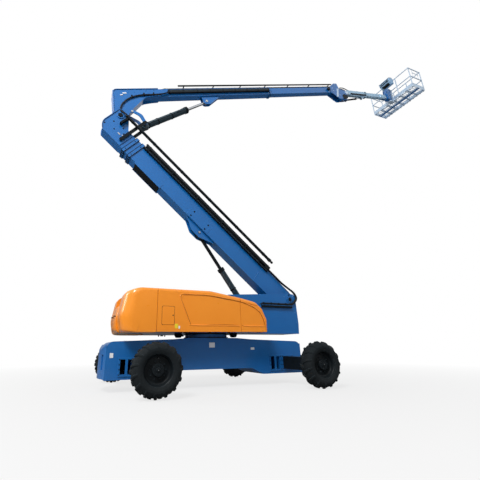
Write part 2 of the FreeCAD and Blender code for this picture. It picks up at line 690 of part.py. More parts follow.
def upper_inner():
    """The inner section, with the upright bracket and the lugs of the jib at its head."""
    gap = upper_wall + slide_gap
    depth, width = upper_depth - 2 * gap, upper_width - 2 * gap
    middle = upper_offset
    face = upper_face
    tube = upper.tube(upper_inner_start, face - 500, middle, depth, width, 9)
    low, high = middle - head_drop, middle + head_rise
    head = [(face - 650, middle - depth / 2), (face - 240, low), (face, low), (face, high),
            (face - 240, high), (face - 650, middle + depth / 2)]
    plates = both(width / 2 - 2, width / 2 + 18, lambda a, b: upper.shape(head, a, b,
                                                                        [0, 60, 40, 40, 60, 0]))
    front = upper.bar(face - 24, face, low, high, -width / 2, width / 2)
    lug = [(face - 10, jib_offset - 177), (jib_reach - 40, jib_offset - 120),
           (jib_reach + 110, jib_offset - 100), (jib_reach + 110, jib_offset + 100),
           (jib_reach - 60, jib_offset + 110), (face - 10, jib_offset + 243)]
    lugs = both(jib_lug_y, jib_lug_y + 24, lambda a, b: upper.shape(lug, a, b, [0, 40, 90, 90, 40, 0]))
    s, n = jib_base_s, jib_base_n
    small = [(face - 10, n), (s - 20, n - 55), (s + 55, n - 55), (s + 55, n + 55), (face - 10, n + 230)]
    ears = both(jib_ear_y, jib_ear_y + 18, lambda a, b: upper.shape(small, a, b, [0, 30, 50, 50, 0]))
    stubs = both(jib_ear_y + 1, jib_ear_y + 28, lambda a, b: pin(jib_base, jib_size["base_pin"], a, b))
    shape = union([tube] + plates + [front] + lugs + ears + stubs)
    return shape.cut(pin(jib_pin, 45 + seat_gap, -400, 400))


upper_inner_start = 2900.0
jib_lug_y = 106.0
jib_base_s = jib_reach - 130.0      # the cylinder's foot, below the jib's own pin
jib_base_n = jib_offset - 347.0
jib_base = upper.at(jib_base_s, jib_base_n)
jib_ear_y = 44.0
jib_eye_s = 1150.0
jib_eye = jib.at(jib_eye_s, -140)
guide_y = -82.0             # the tube and rod that run under the jib on its near side
guide_n = -100.0
guide_radius = 22.0
guide_rod = 12.0
guide_start = 250.0


def jib_outer():
    half = jib_depth / 2
    tube = jib.tube(110, jib_outer_end, jib_middle, jib_depth, jib_width, 10)
    cheek = [(-90, -90), (200, jib_middle - half), (420, jib_middle - half), (420, jib_middle + half),
             (120, jib_middle + half), (-90, 90)]
    cheeks = both(jib_width / 2 - 12, jib_width / 2, lambda a, b: jib.shape(cheek, a, b,
                                                                          [85, 0, 0, 0, 40, 85]))
    collar = jib.tube(jib_outer_end - 60, jib_outer_end, jib_middle, jib_depth + 30, jib_width + 30,
                      10 + slide_gap - seat_gap + 15)
    s, low = jib_eye_s, jib_middle - half
    lug = [(s - 150, low + 4), (s - 60, -200), (s + 60, -200), (s + 180, low + 4)]
    lugs = both(42, 60, lambda a, b: jib.shape(lug, a, b, [0, 50, 50, 0]))
    lugs = [piece.cut(pin(jib_eye, jib_size["eye_pin"] + seat_gap, -200, 200)) for piece in lugs]
    shaft = pin(jib_pin, 45, -jib_lug_y - 40, jib_lug_y + 40)
    guide = side_rod(guide_start, jib_outer_end - 20, guide_radius)
    holders = [jib.bar(start, start + 30, guide_n, low + 4, guide_y - 14, guide_y + 14)
               for start in (guide_start + 50, jib_outer_end - 100)]
    shape = union([tube] + cheeks + [collar] + lugs + [shaft, guide] + holders)
    return shape.cut(side_rod(guide_start - 10, jib_outer_end, guide_rod + seat_gap))


def side_rod(s0, s1, radius):
    """A round bar beside the jib, on the line of its guide tube."""
    (ax, az), (bx, bz) = jib.at(s0, guide_n), jib.at(s1, guide_n)
    return rod((ax, guide_y, az), (bx, guide_y, bz), radius)


def jib_inner():
    gap = 10 + slide_gap
    depth, width = jib_depth - 2 * gap, jib_width - 2 * gap
    tube = jib.tube(jib_inner_start, jib_length - 230, jib_middle, depth, width, 8)
    end = [(jib_length - 420, jib_middle - depth / 2), (jib_length - 60, -75), (jib_length + 75, -75),
           (jib_length + 75, 75), (jib_length - 60, 130), (jib_length - 420, jib_middle + depth / 2)]
    cheeks = both(width / 2 - 2, width / 2 + 14, lambda a, b: jib.shape(end, a, b, [0, 0, 70, 70, 40, 0]))
    stop = jib_length - 140
    slider = side_rod(guide_start + 750, stop, guide_rod)
    holder = jib.bar(stop - 140, stop - 100, guide_n, jib_middle - depth / 2 + 4, guide_y - 2, guide_y + 8)
    shape = union([tube] + cheeks + [slider, holder])
    return shape.cut(pin(level_pin, 38 + seat_gap, -400, 400))


def platform_support():
    """The levelled block on the jib's end, with the upright rotary drive."""
    x, z = level_pin
    inner = jib_width / 2 - 16 - slide_gap - 2 - seat_gap
    tongue = plate([(x - 70, z - 70), (x + 260, z - 90), (x + 360, z - 60), (x + 360, z + 620),
                    (x + 250, z + 700), (x + 150, z + 330), (x - 70, z + 70)],
                   -inner + 10, inner - 10, [65, 0, 0, 0, 60, 100, 65])
    drive = Part.makeCylinder(drive_radius, drive_length, Vector(swivel_x, 0, z - drive_drop))
    shaft = pin(level_pin, 38, -inner - 40, inner + 40)
    return union([tongue, drive, shaft])


def platform_frame():
    """Floor frame with cross members, a grating and the bracket that grips the rotary drive."""
    half_x, half_y = platform_depth / 2, platform_width / 2
    x0, x1 = platform_centre - half_x, platform_centre + half_x
    low, top, wall = floor_top - toe_height, floor_top, 6.0
    frame = box(x0, x1, -half_y, half_y, low, top)
    frame = frame.cut(box(x0 + wall, x1 - wall, -half_y + wall, half_y - wall, low - 1, top + 1))
    spine = box(platform_centre - 45, platform_centre + 45, -half_y + 1, half_y - 1, low, top - 12)
    members = [box(x0 + 1, x1 - 1, y - 22, y + 22, low, top - 12) for y in (-820, -410, 0, 410, 820)]
    pitch = 2 * half_y / (grating_bars + 1)
    bars = [box(x0 + 1, x1 - 1, -half_y + i * pitch - 8, -half_y + i * pitch + 8, top - 13, top)
            for i in range(1, grating_bars + 1)]
    z_low = level_pin[1] - drive_drop - jaw_plate
    z_high = z_low + jaw_plate + drive_length + seat_gap
    jaws = [union([rod((swivel_x, 0, z), (swivel_x, 0, z + jaw_plate - seat_gap), drive_radius + 15),
                   box(swivel_x, x0 - 10, -90, 90, z, z + jaw_plate - seat_gap)]) for z in (z_low, z_high)]
    post = box(x0 - 50, x0 - seat_gap, -90, 90, z_low, z_high + jaw_plate - seat_gap)
    foot = box(x0 - 50, x0 + 200, -90, 90, low, top - 14)
    return union([frame, spine, foot, post] + members + bars + jaws)


def platform_rails():
    """Top, middle and low rails and their posts, all of one welded square tube."""
    r = rail_radius
    half_x, half_y = platform_depth / 2 - r, platform_width / 2 - r
    x0, x1 = platform_centre - half_x, platform_centre + half_x
    top = floor_top + rail_height
    pieces = []
    for z in (top - r, floor_top + rail_height / 2):
        pieces += [box(x0 - r, x1 + r, y - r, y + r, z - r, z + r) for y in (-half_y, half_y)]
        pieces += [box(x - r, x + r, -half_y - r, half_y + r, z - r, z + r) for x in (x0, x1)]
    for x in (x0, x1):
        for y in (-half_y, -half_y / 3, half_y / 3, half_y):
            pieces.append(box(x - r, x + r, y - r, y + r, floor_top + seat_gap, top))
    return union(pieces)


def control_console():
    x0 = platform_centre - platform_depth / 2
    z = floor_top + rail_height
    body = plate([(x0 - 150, z - 260), (x0 - seat_gap, z - 300), (x0 - seat_gap, z + 10), (x0 - 60, z + 60),
                  (x0 - 190, z - 20)], -260, 260, [30, 20, 20, 20, 30])
    return body


def lower_track():
    half = lower_depth / 2
    return lower.bar(1500, lower_outer_end - 380, half + seat_gap, half + 95, -195, -75)


def lower_pipe():
    s0, s1, n, y = 1300, lower_head - 220, 600, -345
    a, b = lower.at(s0, n), lower.at(s1, n)
    tube = rod((a[0], y, a[1]), (b[0], y, b[1]), 48)
    arm = lower.bar(s1 - 70, s1 - 10, 250, 640, y - 20, -knuckle_y - seat_gap)
    return union([tube, arm])


def upper_tray():
    middle = upper_offset
    return upper.bar(2050, upper_outer_end - 120, middle - 60, middle + 70,
                     -upper_width / 2 - 90, -upper_width / 2 - seat_gap)


def upper_pipe():
    middle, half = upper_offset, upper_depth / 2
    n, y = middle + half + 95, 0
    a, b = upper.at(2050, n), upper.at(upper_face - 400, n)
    tube = rod((a[0], y, a[1]), (b[0], y, b[1]), 36)
    deck = middle + half - upper_wall - slide_gap + seat_gap
    foot = upper.bar(upper_face - 700, upper_face - 520, deck, n, -30, 30)
    return union([tube, foot])


def counterweight():
    block = plate([(-2700, 1420), (-1950, 1420), (-1950, 2000), (-2620, 2000)],
                  -side_plate_y + seat_gap, side_plate_y - seat_gap, [90, 0, 0, 120])
    deck = base_top
    return block.common(box(-4000, 0, -2000, 2000, deck + seat_gap, 4000))


def engine():
    return box(-1500, 300, cover_inner_y + 60, 1080, base_top - 10 + seat_gap, 2050)


def build():
    save("chassis_frame", chassis())
    for end, name in ((1, "front"), (-1, "rear")):
        save("chassis_end_" + name, end_plate(end))
    for name, end, side in corners:
        save("axle_beam_" + name, axle_beam(end, side))
        save("steering_knuckle_" + name, knuckle(end, side))
        save("tyre_" + name, tyre(end, side))
        save("wheel_rim_" + name, rim(end, side))
    save("slew_ring", slew_ring())
    save("turntable_frame", turntable())
    for index, name in enumerate(("rear", "middle", "front")):
        far = cover_part(index)
        save("cover_far_" + name, far)
        save("cover_near_" + name, mirror_y(far))
    save("counterweight", counterweight())
    save("engine", engine())
    save("lower_boom_outer", lower_outer())
    save("lower_boom_inner", lower_inner())
    save("lower_cable_track", lower_track())
    save("lower_hose_pipe", lower_pipe())
    save("lift_cylinder_barrel", cylinder_barrel(lift_base, lift_eye, lift_barrel, lift_size))
    save("lift_cylinder_rod", cylinder_rod(lift_base, lift_eye, lift_rod_start, lift_size))
    save("upper_boom_outer", upper_outer())
    save("upper_boom_inner", upper_inner())
    save("upper_cable_tray", upper_tray())
    save("upper_hose_pipe", upper_pipe())
    save("upper_link", upper_link())
    save("upper_arm", upper_arm())
    save("upper_cylinder_barrel", cylinder_barrel(link_tip, upper_eye, upper_barrel, upper_size))
    save("upper_cylinder_rod", cylinder_rod(link_tip, upper_eye, upper_rod_start, upper_size))
    save("jib_outer", jib_outer())
    save("jib_inner", jib_inner())
    save("jib_cylinder_barrel", cylinder_barrel(jib_base, jib_eye, jib_barrel, jib_size))
    save("jib_cylinder_rod", cylinder_rod(jib_base, jib_eye, jib_rod_start, jib_size))
    save("platform_support", platform_support())
    save("platform_floor", platform_frame())
    save("platform_rails", platform_rails())
    save("platform_console", control_console())


build()
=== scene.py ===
"""Looks for the articulating boom lift.

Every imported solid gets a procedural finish. The small pieces that the solids carry are added as
surfaces worked out from formulas, and each rides on its body. Lengths are in metres.
"""

import json
import math

import bmesh
import bpy
import numpy as np
from mathutils import Matrix


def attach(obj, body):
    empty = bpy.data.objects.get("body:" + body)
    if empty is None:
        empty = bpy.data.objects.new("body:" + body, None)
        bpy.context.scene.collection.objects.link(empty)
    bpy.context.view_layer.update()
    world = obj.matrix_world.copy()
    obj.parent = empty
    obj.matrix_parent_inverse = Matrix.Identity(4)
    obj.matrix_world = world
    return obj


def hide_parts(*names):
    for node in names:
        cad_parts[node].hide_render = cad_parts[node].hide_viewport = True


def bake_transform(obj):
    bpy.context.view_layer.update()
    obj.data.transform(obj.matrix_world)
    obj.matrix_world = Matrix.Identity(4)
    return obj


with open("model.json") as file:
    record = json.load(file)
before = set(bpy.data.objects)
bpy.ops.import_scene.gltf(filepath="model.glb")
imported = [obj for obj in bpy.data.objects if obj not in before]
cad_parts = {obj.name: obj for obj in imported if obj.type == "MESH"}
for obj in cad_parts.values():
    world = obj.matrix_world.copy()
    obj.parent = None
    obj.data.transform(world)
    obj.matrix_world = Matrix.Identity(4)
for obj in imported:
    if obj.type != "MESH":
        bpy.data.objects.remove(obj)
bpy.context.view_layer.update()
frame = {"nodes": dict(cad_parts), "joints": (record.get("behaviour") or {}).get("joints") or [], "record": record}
nodes = frame["nodes"]
joints = {joint["name"]: joint for joint in frame["joints"]}

# The photograph's camera: pixels of its 480 x 480 frame, unit vectors and metres
photo_side = 480
focal_px = 319.388
centre_px = (206.102, 230.700)
camera_right = (0.92782, -0.37293, -0.00833)
camera_up = (-0.12085, -0.32166, 0.93911)
camera_ahead = (0.35290, 0.87032, 0.34351)
camera_place = (-3.747, -9.338, 1.0122)
sensor_mm = 36.0

# Wheels: sizes that the solids have too
tyre_radius = 0.575
tyre_half = 0.210
rim_radius = 0.325
lug_height = 0.032
lug_count = 15
lug_width = 0.066
lug_slant = 0.085
stud_circle = 0.178
hub_face = 0.128

up = (0, 0, 1)
sides = ((-1, "near"), (1, "far"))
corner_names = ["front_near", "front_far", "rear_near", "rear_far"]
pole = 1e-5  # radius of the small ring that closes a turned body; piece() merges it to a point


# Surfaces: each gives its points and its four-sided faces as whole arrays

def grid_faces(rows, columns, wrap_rows=False, wrap_columns=False):
    """Faces between neighbours of a grid of points; a wrapped side joins its last to its first."""
    i, j = np.meshgrid(np.arange(rows - (not wrap_rows)), np.arange(columns - (not wrap_columns)),
                       indexing="ij")
    down, right = (i + 1) % rows, (j + 1) % columns
    corners = (i * columns + j, i * columns + right, down * columns + right, down * columns + j)
    return np.stack(corners, -1).reshape(-1, 4)


def join(shapes):
    """Several shapes as one, with each one's faces counted on from the points before it."""
    points, faces, start = [], [], 0
    for p, f in shapes:
        points.append(p)
        faces.append(f + start)
        start += len(p)
    return np.concatenate(points), np.concatenate(faces)


def repeat(shape, offsets):
    """The shape once at each offset."""
    points, faces = shape
    offsets = np.asarray(offsets, float)
    moved = points[None] + offsets[:, None]
    counted = faces[None] + (np.arange(len(offsets)) * len(points))[:, None, None]
    return moved.reshape(-1, 3), counted.reshape(-1, 4)


def mirror(shape):
    """The same shape on the other side of the centre plane."""
    return shape[0] * np.array([1.0, -1.0, 1.0]), shape[1][:, ::-1]


def twice(*shapes):
    """The shapes and their mirror images."""
    return join([*shapes, *map(mirror, shapes)])


def span(side, inner, outer):
    """Two distances from the centre plane on one side of it, as a low and a high y."""
    return sorted((side * inner, side * outer))


def basis(axis):
    """A unit vector along the axis and two across it, which make a right-handed set."""
    axis = np.asarray(axis, float) / np.linalg.norm(axis)
    helper = np.array([0.0, 0.0, 1.0]) if abs(axis[2]) < 0.9 else np.array([1.0, 0.0, 0.0])
    first = np.cross(helper, axis)
    first /= np.linalg.norm(first)
    return axis, first, np.cross(axis, first)


def turned(profile, centre, axis, count=48):
    """Surface of revolution: centre + axis * h(t) + r(t) * (cos a * first + sin a * second)."""
    axis, first, second = basis(axis)
    r, h = np.asarray(profile, float).T
    a = np.linspace(0, 2 * np.pi, count, endpoint=False)
    ring = np.cos(a)[:, None] * first + np.sin(a)[:, None] * second
    points = np.asarray(centre) + h[:, None, None] * axis + r[:, None, None] * ring[None]
    return points.reshape(-1, 3), grid_faces(len(r), count, wrap_columns=True)


def drum(radius, low, high, centre, axis, edge=0.0, count=32):
    """A closed turned body: a flat disc at each end, joined by the wall with a small chamfer."""
    edge = edge or radius * 0.08
    profile = [(pole, low), (radius - edge, low), (radius, low + edge), (radius, high - edge),
               (radius - edge, high), (pole, high)]
    return turned(profile, centre, axis, count)


def hexagon(radius, low, high, centre, axis):
    """A six-sided drum: a nut or the head of a bolt."""
    return drum(radius, low, high, centre, axis, edge=radius * 0.12, count=6)


def hoop(inner, outer, half, centre, axis, count=32):
    """A band round a pipe: up from the inner radius, along the outer one and down again."""
    lip = half - 0.002
    return turned([(inner, -half), (outer, -lip), (outer, lip), (inner, half)], centre, axis, count)


def smooth_path(knots, count):
    """Catmull-Rom curve through the knots: each span is a cubic of its four nearest knots."""
    k = np.asarray(knots, float)
    k = np.vstack([2 * k[0] - k[1], k, 2 * k[-1] - k[-2]])
    t = np.linspace(0, len(k) - 3 - 1e-9, count)
    i, u = t.astype(int), (t % 1)[:, None]
    a, b, c, d = k[i], k[i + 1], k[i + 2], k[i + 3]
    return 0.5 * (2 * b + (c - a) * u + (2 * a - 5 * b + 4 * c - d) * u ** 2
                  + (3 * b - 3 * c + d - a) * u ** 3)


def tube(path, radius, ring_sides=10):
    """Round tube: path(s) + radius * (cos a * across + sin a * beside), closed at both ends."""
    path = np.asarray(path, float)
    ahead = np.gradient(path, axis=0)
    ahead /= np.linalg.norm(ahead, axis=1)[:, None]
    beside = np.cross(ahead, np.array([0.13, 0.97, 0.21]))  # a direction that no tube runs in
    beside /= np.linalg.norm(beside, axis=1)[:, None]
    across = np.cross(beside, ahead)
    a = np.linspace(0, 2 * np.pi, ring_sides, endpoint=False)[None, :, None]
    ring = np.cos(a) * across[:, None] + np.sin(a) * beside[:, None]
    wall = path[:, None] + radius * ring
    points = np.concatenate([path[:1, None] + pole * ring[:1], wall,
                             path[-1:, None] + pole * ring[-1:]])
    return points.reshape(-1, 3), grid_faces(len(points), ring_sides, wrap_columns=True)


def hose(knots, radius, count=60, ring_sides=10, ripple=0.0, waves=0.0):
    """A tube on a smooth curve through its knots; ripple raises rings along it as a sine."""
    path = smooth_path(knots, count)
    points, faces = tube(path, radius, ring_sides)
    if ripple:
        way = np.linspace(0, waves * 2 * np.pi, count)
        rings = points.reshape(count + 2, ring_sides, 3)
        swell = 1 + ripple * np.sin(way)[:, None, None]
        rings[1:-1] = path[:, None] + (rings[1:-1] - path[:, None]) * swell
        points = rings.reshape(-1, 3)
    return points, faces


def soft_block(low, high, power=0.22, rows=16, columns=32):
    """Superellipsoid in a box: cos and sin raised to a small power, which squares them."""
    low, high = np.asarray(low, float), np.asarray(high, float)
    v = np.linspace(-np.pi / 2, np.pi / 2, rows)[:, None]
    u = np.linspace(0, 2 * np.pi, columns, endpoint=False)[None]

    def bent(x):
        return np.sign(x) * np.abs(x) ** power

    unit = np.stack([bent(np.cos(v)) * bent(np.cos(u)), bent(np.cos(v)) * bent(np.sin(u)),
                     bent(np.sin(v)) * np.ones_like(u)], -1)
    points = (low + high) / 2 + unit * (high - low) / 2
    return points.reshape(-1, 3), grid_faces(rows, columns, wrap_columns=True)


def rounded(corners, radius, steps=5):
    """A closed outline whose corners are cut by a quadratic curve that starts a radius away."""
    c = np.asarray(corners, float)
    before, after = np.roll(c, 1, axis=0) - c, np.roll(c, -1, axis=0) - c
    lengths = np.linalg.norm(before, axis=1), np.linalg.norm(after, axis=1)
    a = c + before / lengths[0][:, None] * np.minimum(radius, 0.49 * lengths[0])[:, None]
    b = c + after / lengths[1][:, None] * np.minimum(radius, 0.49 * lengths[1])[:, None]
    t = np.linspace(0, 1, steps)[None, :, None]
    curve = (1 - t) ** 2 * a[:, None] + 2 * t * (1 - t) * c[:, None] + t ** 2 * b[:, None]
    return curve.reshape(-1, 2)


def rectangle(middle, half_wide, half_high, radius, steps=5):
    """Outline of a rectangle about its middle, with rounded corners."""
    (u, v), a, b = middle, half_wide, half_high
    return rounded([(u - a, v - b), (u + a, v - b), (u + a, v + b), (u - a, v + b)], radius, steps)


def bar(line, s0, s1, n0, n1, y0, y1, edge=0.004):
    """A straight bar along a line's axes: a rectangle with cut corners, carried from s0 to s1."""
    profile = np.array([(n0 + edge, y0), (n1 - edge, y0), (n1, y0 + edge), (n1, y1 - edge),
                        (n1 - edge, y1), (n0 + edge, y1), (n0, y1 - edge), (n0, y0 + edge)])
    middle = profile.mean(axis=0)
    rings = [(s0, 0.0), (s0, 1.0), (s1, 1.0), (s1, 0.0)]
    points = [line.at(s, *(middle + (profile - middle) * size).T) for s, size in rings]
    return np.concatenate(points), grid_faces(4, 8, wrap_columns=True)


def slab(line, outline, y0, y1, edge=0.003):
    """A flat plate: its outline in (s, n) carried from y0 to y1, drawn in by the edge at both."""
    outline = np.asarray(outline, float)
    middle = outline.mean(axis=0)
    reach = np.linalg.norm(outline - middle, axis=1).mean()
    inset = 1 - edge / reach
    rings = [(y0, 0.0), (y0, inset), (y0 + edge, 1.0), (y1 - edge, 1.0), (y1, inset), (y1, 0.0)]
    points = [line.at(*(middle + (outline - middle) * size).T, y) for y, size in rings]
    return np.concatenate(points), grid_faces(6, len(outline), wrap_columns=True)


def ribbon(line, path, y0, y1, thick):
    """A flat bar that follows a path in (s, n), its width along Y, its thickness to the left."""
    path = np.asarray(path, float)
    ahead = np.gradient(path, axis=0)
    ahead /= np.linalg.norm(ahead, axis=1)[:, None]
    left = np.stack([-ahead[:, 1], ahead[:, 0]], -1) * thick
    corners = [(path, y0), (path, y1), (path + left, y1), (path + left, y0)]
    ring = np.stack([line.at(*p.T, y) for p, y in corners], 1)
    ends = np.repeat(ring.mean(axis=1, keepdims=True), 4, axis=1)
    points = np.concatenate([ends[:1], ring, ends[-1:]])
    return points.reshape(-1, 3), grid_faces(len(points), 4, wrap_columns=True)


def band(line, s0, s1, middle, half_n, half_y, thick):
    """A rectangular hoop round a boom: a four-sided section carried round eight corners."""
    cut = 0.012

    def loop(grow, s):
        n, y = half_n + grow, half_y + grow
        corners = np.array([(n - cut, -y), (n, -y + cut), (n, y - cut), (n - cut, y),
                            (-n + cut, y), (-n, y - cut), (-n, -y + cut), (-n + cut, -y)])
        return line.at(s, middle + corners[:, 0], corners[:, 1])

    rows = [loop(0.0, s0), loop(thick, s0), loop(thick, s1), loop(0.0, s1)]
    return np.concatenate(rows), grid_faces(4, 8, wrap_rows=True, wrap_columns=True)


def bolts(places, axis, radius=0.012, height=0.010):
    """Hexagon heads on washers at the places, standing along the axis."""
    head = join([drum(radius * 1.45, 0.0, height * 0.25, (0, 0, 0), axis, count=16),
                 hexagon(radius, height * 0.2, height, (0, 0, 0), axis)])
    return repeat(head, places)


def ring_places(centre, axis, radius, count, start=0.0):
    """Places evenly round a circle across the axis."""
    _, first, second = basis(axis)
    a = np.linspace(0, 2 * np.pi, count, endpoint=False)[:, None] + start
    return np.asarray(centre, float) + radius * (np.cos(a) * first + np.sin(a) * second)


class Line:
    """A boom's own axes, from a joint's place: s along its slide, n square to it, y across."""

    def __init__(self, origin, along, side):
        self.origin = np.array(origin, float)
        self.along = np.array(along, float)
        self.across = side * np.array([-self.along[2], 0.0, self.along[0]])

    def at(self, s, n, y=0.0):
        """The point s * along + n * across + y, for single numbers or whole arrays."""
        s, n, y = np.broadcast_arrays(s, n, y)
        return (self.origin + s[..., None] * self.along + n[..., None] * self.across
                + y[..., None] * np.array([0.0, 1.0, 0.0]))


lower = Line(joints["lower_lift"]["pos_m"], joints["lower_telescope"]["axis"], -1)
upper = Line(joints["upper_lift"]["pos_m"], joints["upper_telescope"]["axis"], 1)
jib = Line(joints["jib_lift"]["pos_m"], joints["jib_telescope"]["axis"], 1)
level_line = Line((0, 0, 0), (1, 0, 0), 1)  # s is X and n is Z

# Places on the booms along their own axes, as the solids have them
lower_half, lower_side = 0.332, 0.210            # half the lower boom's height and width
lower_end = 7.330                                # its mouth
knuckle_s, knuckle_n, knuckle_side = 8.280, 0.520, 0.220
lift_eye_s, lift_eye_n = 3.670, -0.440           # the lift cylinder's upper pin
upper_middle, upper_half, upper_side = 0.936, 0.1625, 0.140
upper_end, head_face = 6.950, 11.400             # its mouth and the head's end
neck_side = 0.170
cylinder_eye_s, cylinder_eye_n = 3.600, 0.560    # the upper cylinder's upper pin
jib_middle, jib_half, jib_side = 0.060, 0.120, 0.100
jib_end, jib_reach = 1.500, 3.040                # its mouth and the levelling pin
guide_n, guide_y = -0.100, -0.082                # the guide rod beside the jib
track_low, track_high, track_in, track_out = 0.247, 0.437, -0.2105, -0.320
pipe_radius, pipe_n, pipe_y = 0.048, 0.600, -0.345
upper_pipe_n, tray_face = 1.1935, -0.230
cover_side = 1.250


# Shader groups that several finishes share

def new_group(name, inputs, outputs):
    """An empty node group with its sockets, and its input and output nodes."""
    group = bpy.data.node_groups.new(name, "ShaderNodeTree")
    for label, kind, value in inputs:
        socket = group.interface.new_socket(label, in_out="INPUT", socket_type=kind)
        if value is not None:
            socket.default_value = value
    for label, kind in outputs:
        group.interface.new_socket(label, in_out="OUTPUT", socket_type=kind)
    return group, group.nodes.new("NodeGroupInput"), group.nodes.new("NodeGroupOutput")


def noise_node(tree, scale, detail, vector):
    """A noise texture's value."""
    node = tree.nodes.new("ShaderNodeTexNoise")
    node.inputs["Scale"].default_value = scale
    node.inputs["Detail"].default_value = detail
    tree.links.new(vector, node.inputs["Vector"])
    return node.outputs["Fac"]


def math_node(tree, operation, a, b=None, c=None, clamp=False):
    """One sum of numbers and sockets."""
    node = tree.nodes.new("ShaderNodeMath")
    node.operation = operation
    node.use_clamp = clamp
    for socket, value in zip(node.inputs, (a, b, c)):
        if isinstance(value, (int, float)):
            socket.default_value = value
        elif value is not None:
            tree.links.new(value, socket)
    return node.outputs[0]


def mix_colour(tree, factor, a, b):
    """Colour a where the factor is 0 and colour b where it is 1; each may be a socket."""
    node = tree.nodes.new("ShaderNodeMix")
    node.data_type = "RGBA"
    for socket, value in ((node.inputs[0], factor), (node.inputs[6], a), (node.inputs[7], b)):
        if isinstance(value, tuple):
            socket.default_value = (*value, 1.0)
        else:
            tree.links.new(value, socket)
    return node.outputs[2]


def make_dust_group():
    """Dust that lies on faces turned up and near the ground, broken by two sizes of noise."""
    group, source, sink = new_group("road_dust", [
        ("Vector", "NodeSocketVector", None), ("Amount", "NodeSocketFloat", 0.3),
        ("Height", "NodeSocketFloat", 1.5)], [("Mask", "NodeSocketFloat")])
    position = group.nodes.new("ShaderNodeSeparateXYZ")
    group.links.new(source.outputs["Vector"], position.inputs[0])
    geometry = group.nodes.new("ShaderNodeNewGeometry")
    normal = group.nodes.new("ShaderNodeSeparateXYZ")
    group.links.new(geometry.outputs["Normal"], normal.inputs[0])
    low = math_node(group, "DIVIDE", position.outputs[2], source.outputs["Height"])
    low = math_node(group, "SUBTRACT", 1.0, low, clamp=True)
    upward = math_node(group, "MULTIPLY", normal.outputs[2], 0.5, clamp=True)
    cloud = noise_node(group, 1.7, 6.0, source.outputs["Vector"])
    grain = noise_node(group, 60.0, 3.0, source.outputs["Vector"])
    both = math_node(group, "ADD", low, upward, clamp=True)
    mask = math_node(group, "MULTIPLY", math_node(group, "MULTIPLY", both, cloud), grain)
    mask = math_node(group, "MULTIPLY", mask, source.outputs["Amount"])
    group.links.new(math_node(group, "MULTIPLY", mask, 3.0, clamp=True), sink.inputs["Mask"])
    return group


def make_edge_group():
    """Edge wear and painted highlight: where the bevelled normal leaves the true one, broken by noise."""
    group, source, sink = new_group("worn_edges", [
        ("Vector", "NodeSocketVector", None), ("Radius", "NodeSocketFloat", 0.006)],
        [("Mask", "NodeSocketFloat")])
    bevel = group.nodes.new("ShaderNodeBevel")
    bevel.samples = 2
    group.links.new(source.outputs["Radius"], bevel.inputs["Radius"])
    geometry = group.nodes.new("ShaderNodeNewGeometry")
    dot = group.nodes.new("ShaderNodeVectorMath")
    dot.operation = "DOT_PRODUCT"
    group.links.new(bevel.outputs[0], dot.inputs[0])
    group.links.new(geometry.outputs["Normal"], dot.inputs[1])
    edge = math_node(group, "SUBTRACT", 1.0, dot.outputs["Value"], clamp=True)
    chips = noise_node(group, 45.0, 5.0, source.outputs["Vector"])
    mask = math_node(group, "MULTIPLY", math_node(group, "MULTIPLY", edge, chips), 6.0, clamp=True)
    group.links.new(mask, sink.inputs["Mask"])
    return group


def make_ripple_group():
    """Fine ripple of sprayed paint, as a height for a bump."""
    group, source, sink = new_group("sprayed_ripple", [
        ("Vector", "NodeSocketVector", None), ("Scale", "NodeSocketFloat", 220.0)],
        [("Height", "NodeSocketFloat")])
    node = group.nodes.new("ShaderNodeTexNoise")
    node.inputs["Detail"].default_value = 2.0
    group.links.new(source.outputs["Vector"], node.inputs["Vector"])
    group.links.new(source.outputs["Scale"], node.inputs["Scale"])
    group.links.new(node.outputs["Fac"], sink.inputs["Height"])
    return group


groups = {"dust": make_dust_group(), "edge": make_edge_group(), "ripple": make_ripple_group()}
dust_colour = (0.42, 0.36, 0.29)


def place_group(tree, name, vector, **values):
    """One of the shared groups in a material, and its only output."""
    node = tree.nodes.new("ShaderNodeGroup")
    node.node_tree = groups[name]
    tree.links.new(vector, node.inputs["Vector"])
    for label, value in values.items():
        node.inputs[label].default_value = value
    return node.outputs[0]


def finish_of(name, colour, second, roughness, metallic=0.0, coat=0.0, specular=0.3,
              patch_scale=2.5, edge_wear_and_highlight_colour=None, dust=0.06, ripple=220.0, bump=0.0006,
              rough_change=0.12):
    """A finish on Object coordinates: cloudy colour, ripple, worn edges with painted highlight, dust."""
    material = bpy.data.materials.new(name)
    material.use_nodes = True
    tree = material.node_tree
    shader = tree.nodes["Principled BSDF"]
    where = tree.nodes.new("ShaderNodeTexCoord").outputs["Object"]
    cloud = noise_node(tree, patch_scale, 5.0, where)
    base = mix_colour(tree, cloud, colour, second)
    # Lighter edges: worn paint, and a painted highlight where light would catch them
    if edge_wear_and_highlight_colour:
        base = mix_colour(tree, place_group(tree, "edge", where), base, edge_wear_and_highlight_colour)
    mask = place_group(tree, "dust", where, Amount=dust, Height=1.6)
    base = mix_colour(tree, mask, base, dust_colour)
    tree.links.new(base, shader.inputs["Base Color"])
    fine = noise_node(tree, patch_scale * 9, 4.0, where)
    rough = math_node(tree, "MULTIPLY_ADD", fine, rough_change, roughness - rough_change / 2)
    rough = math_node(tree, "MULTIPLY_ADD", mask, 0.4, rough, clamp=True)
    tree.links.new(rough, shader.inputs["Roughness"])
    shader.inputs["Metallic"].default_value = metallic
    shader.inputs["Coat Weight"].default_value = coat
    shader.inputs["Coat Roughness"].default_value = 0.12
    shader.inputs["Specular IOR Level"].default_value = specular
    bumper = tree.nodes.new("ShaderNodeBump")
    bumper.inputs["Distance"].default_value = bump
    tree.links.new(place_group(tree, "ripple", where, Scale=ripple), bumper.inputs["Height"])
    tree.links.new(bumper.outputs[0], shader.inputs["Normal"])
    return material
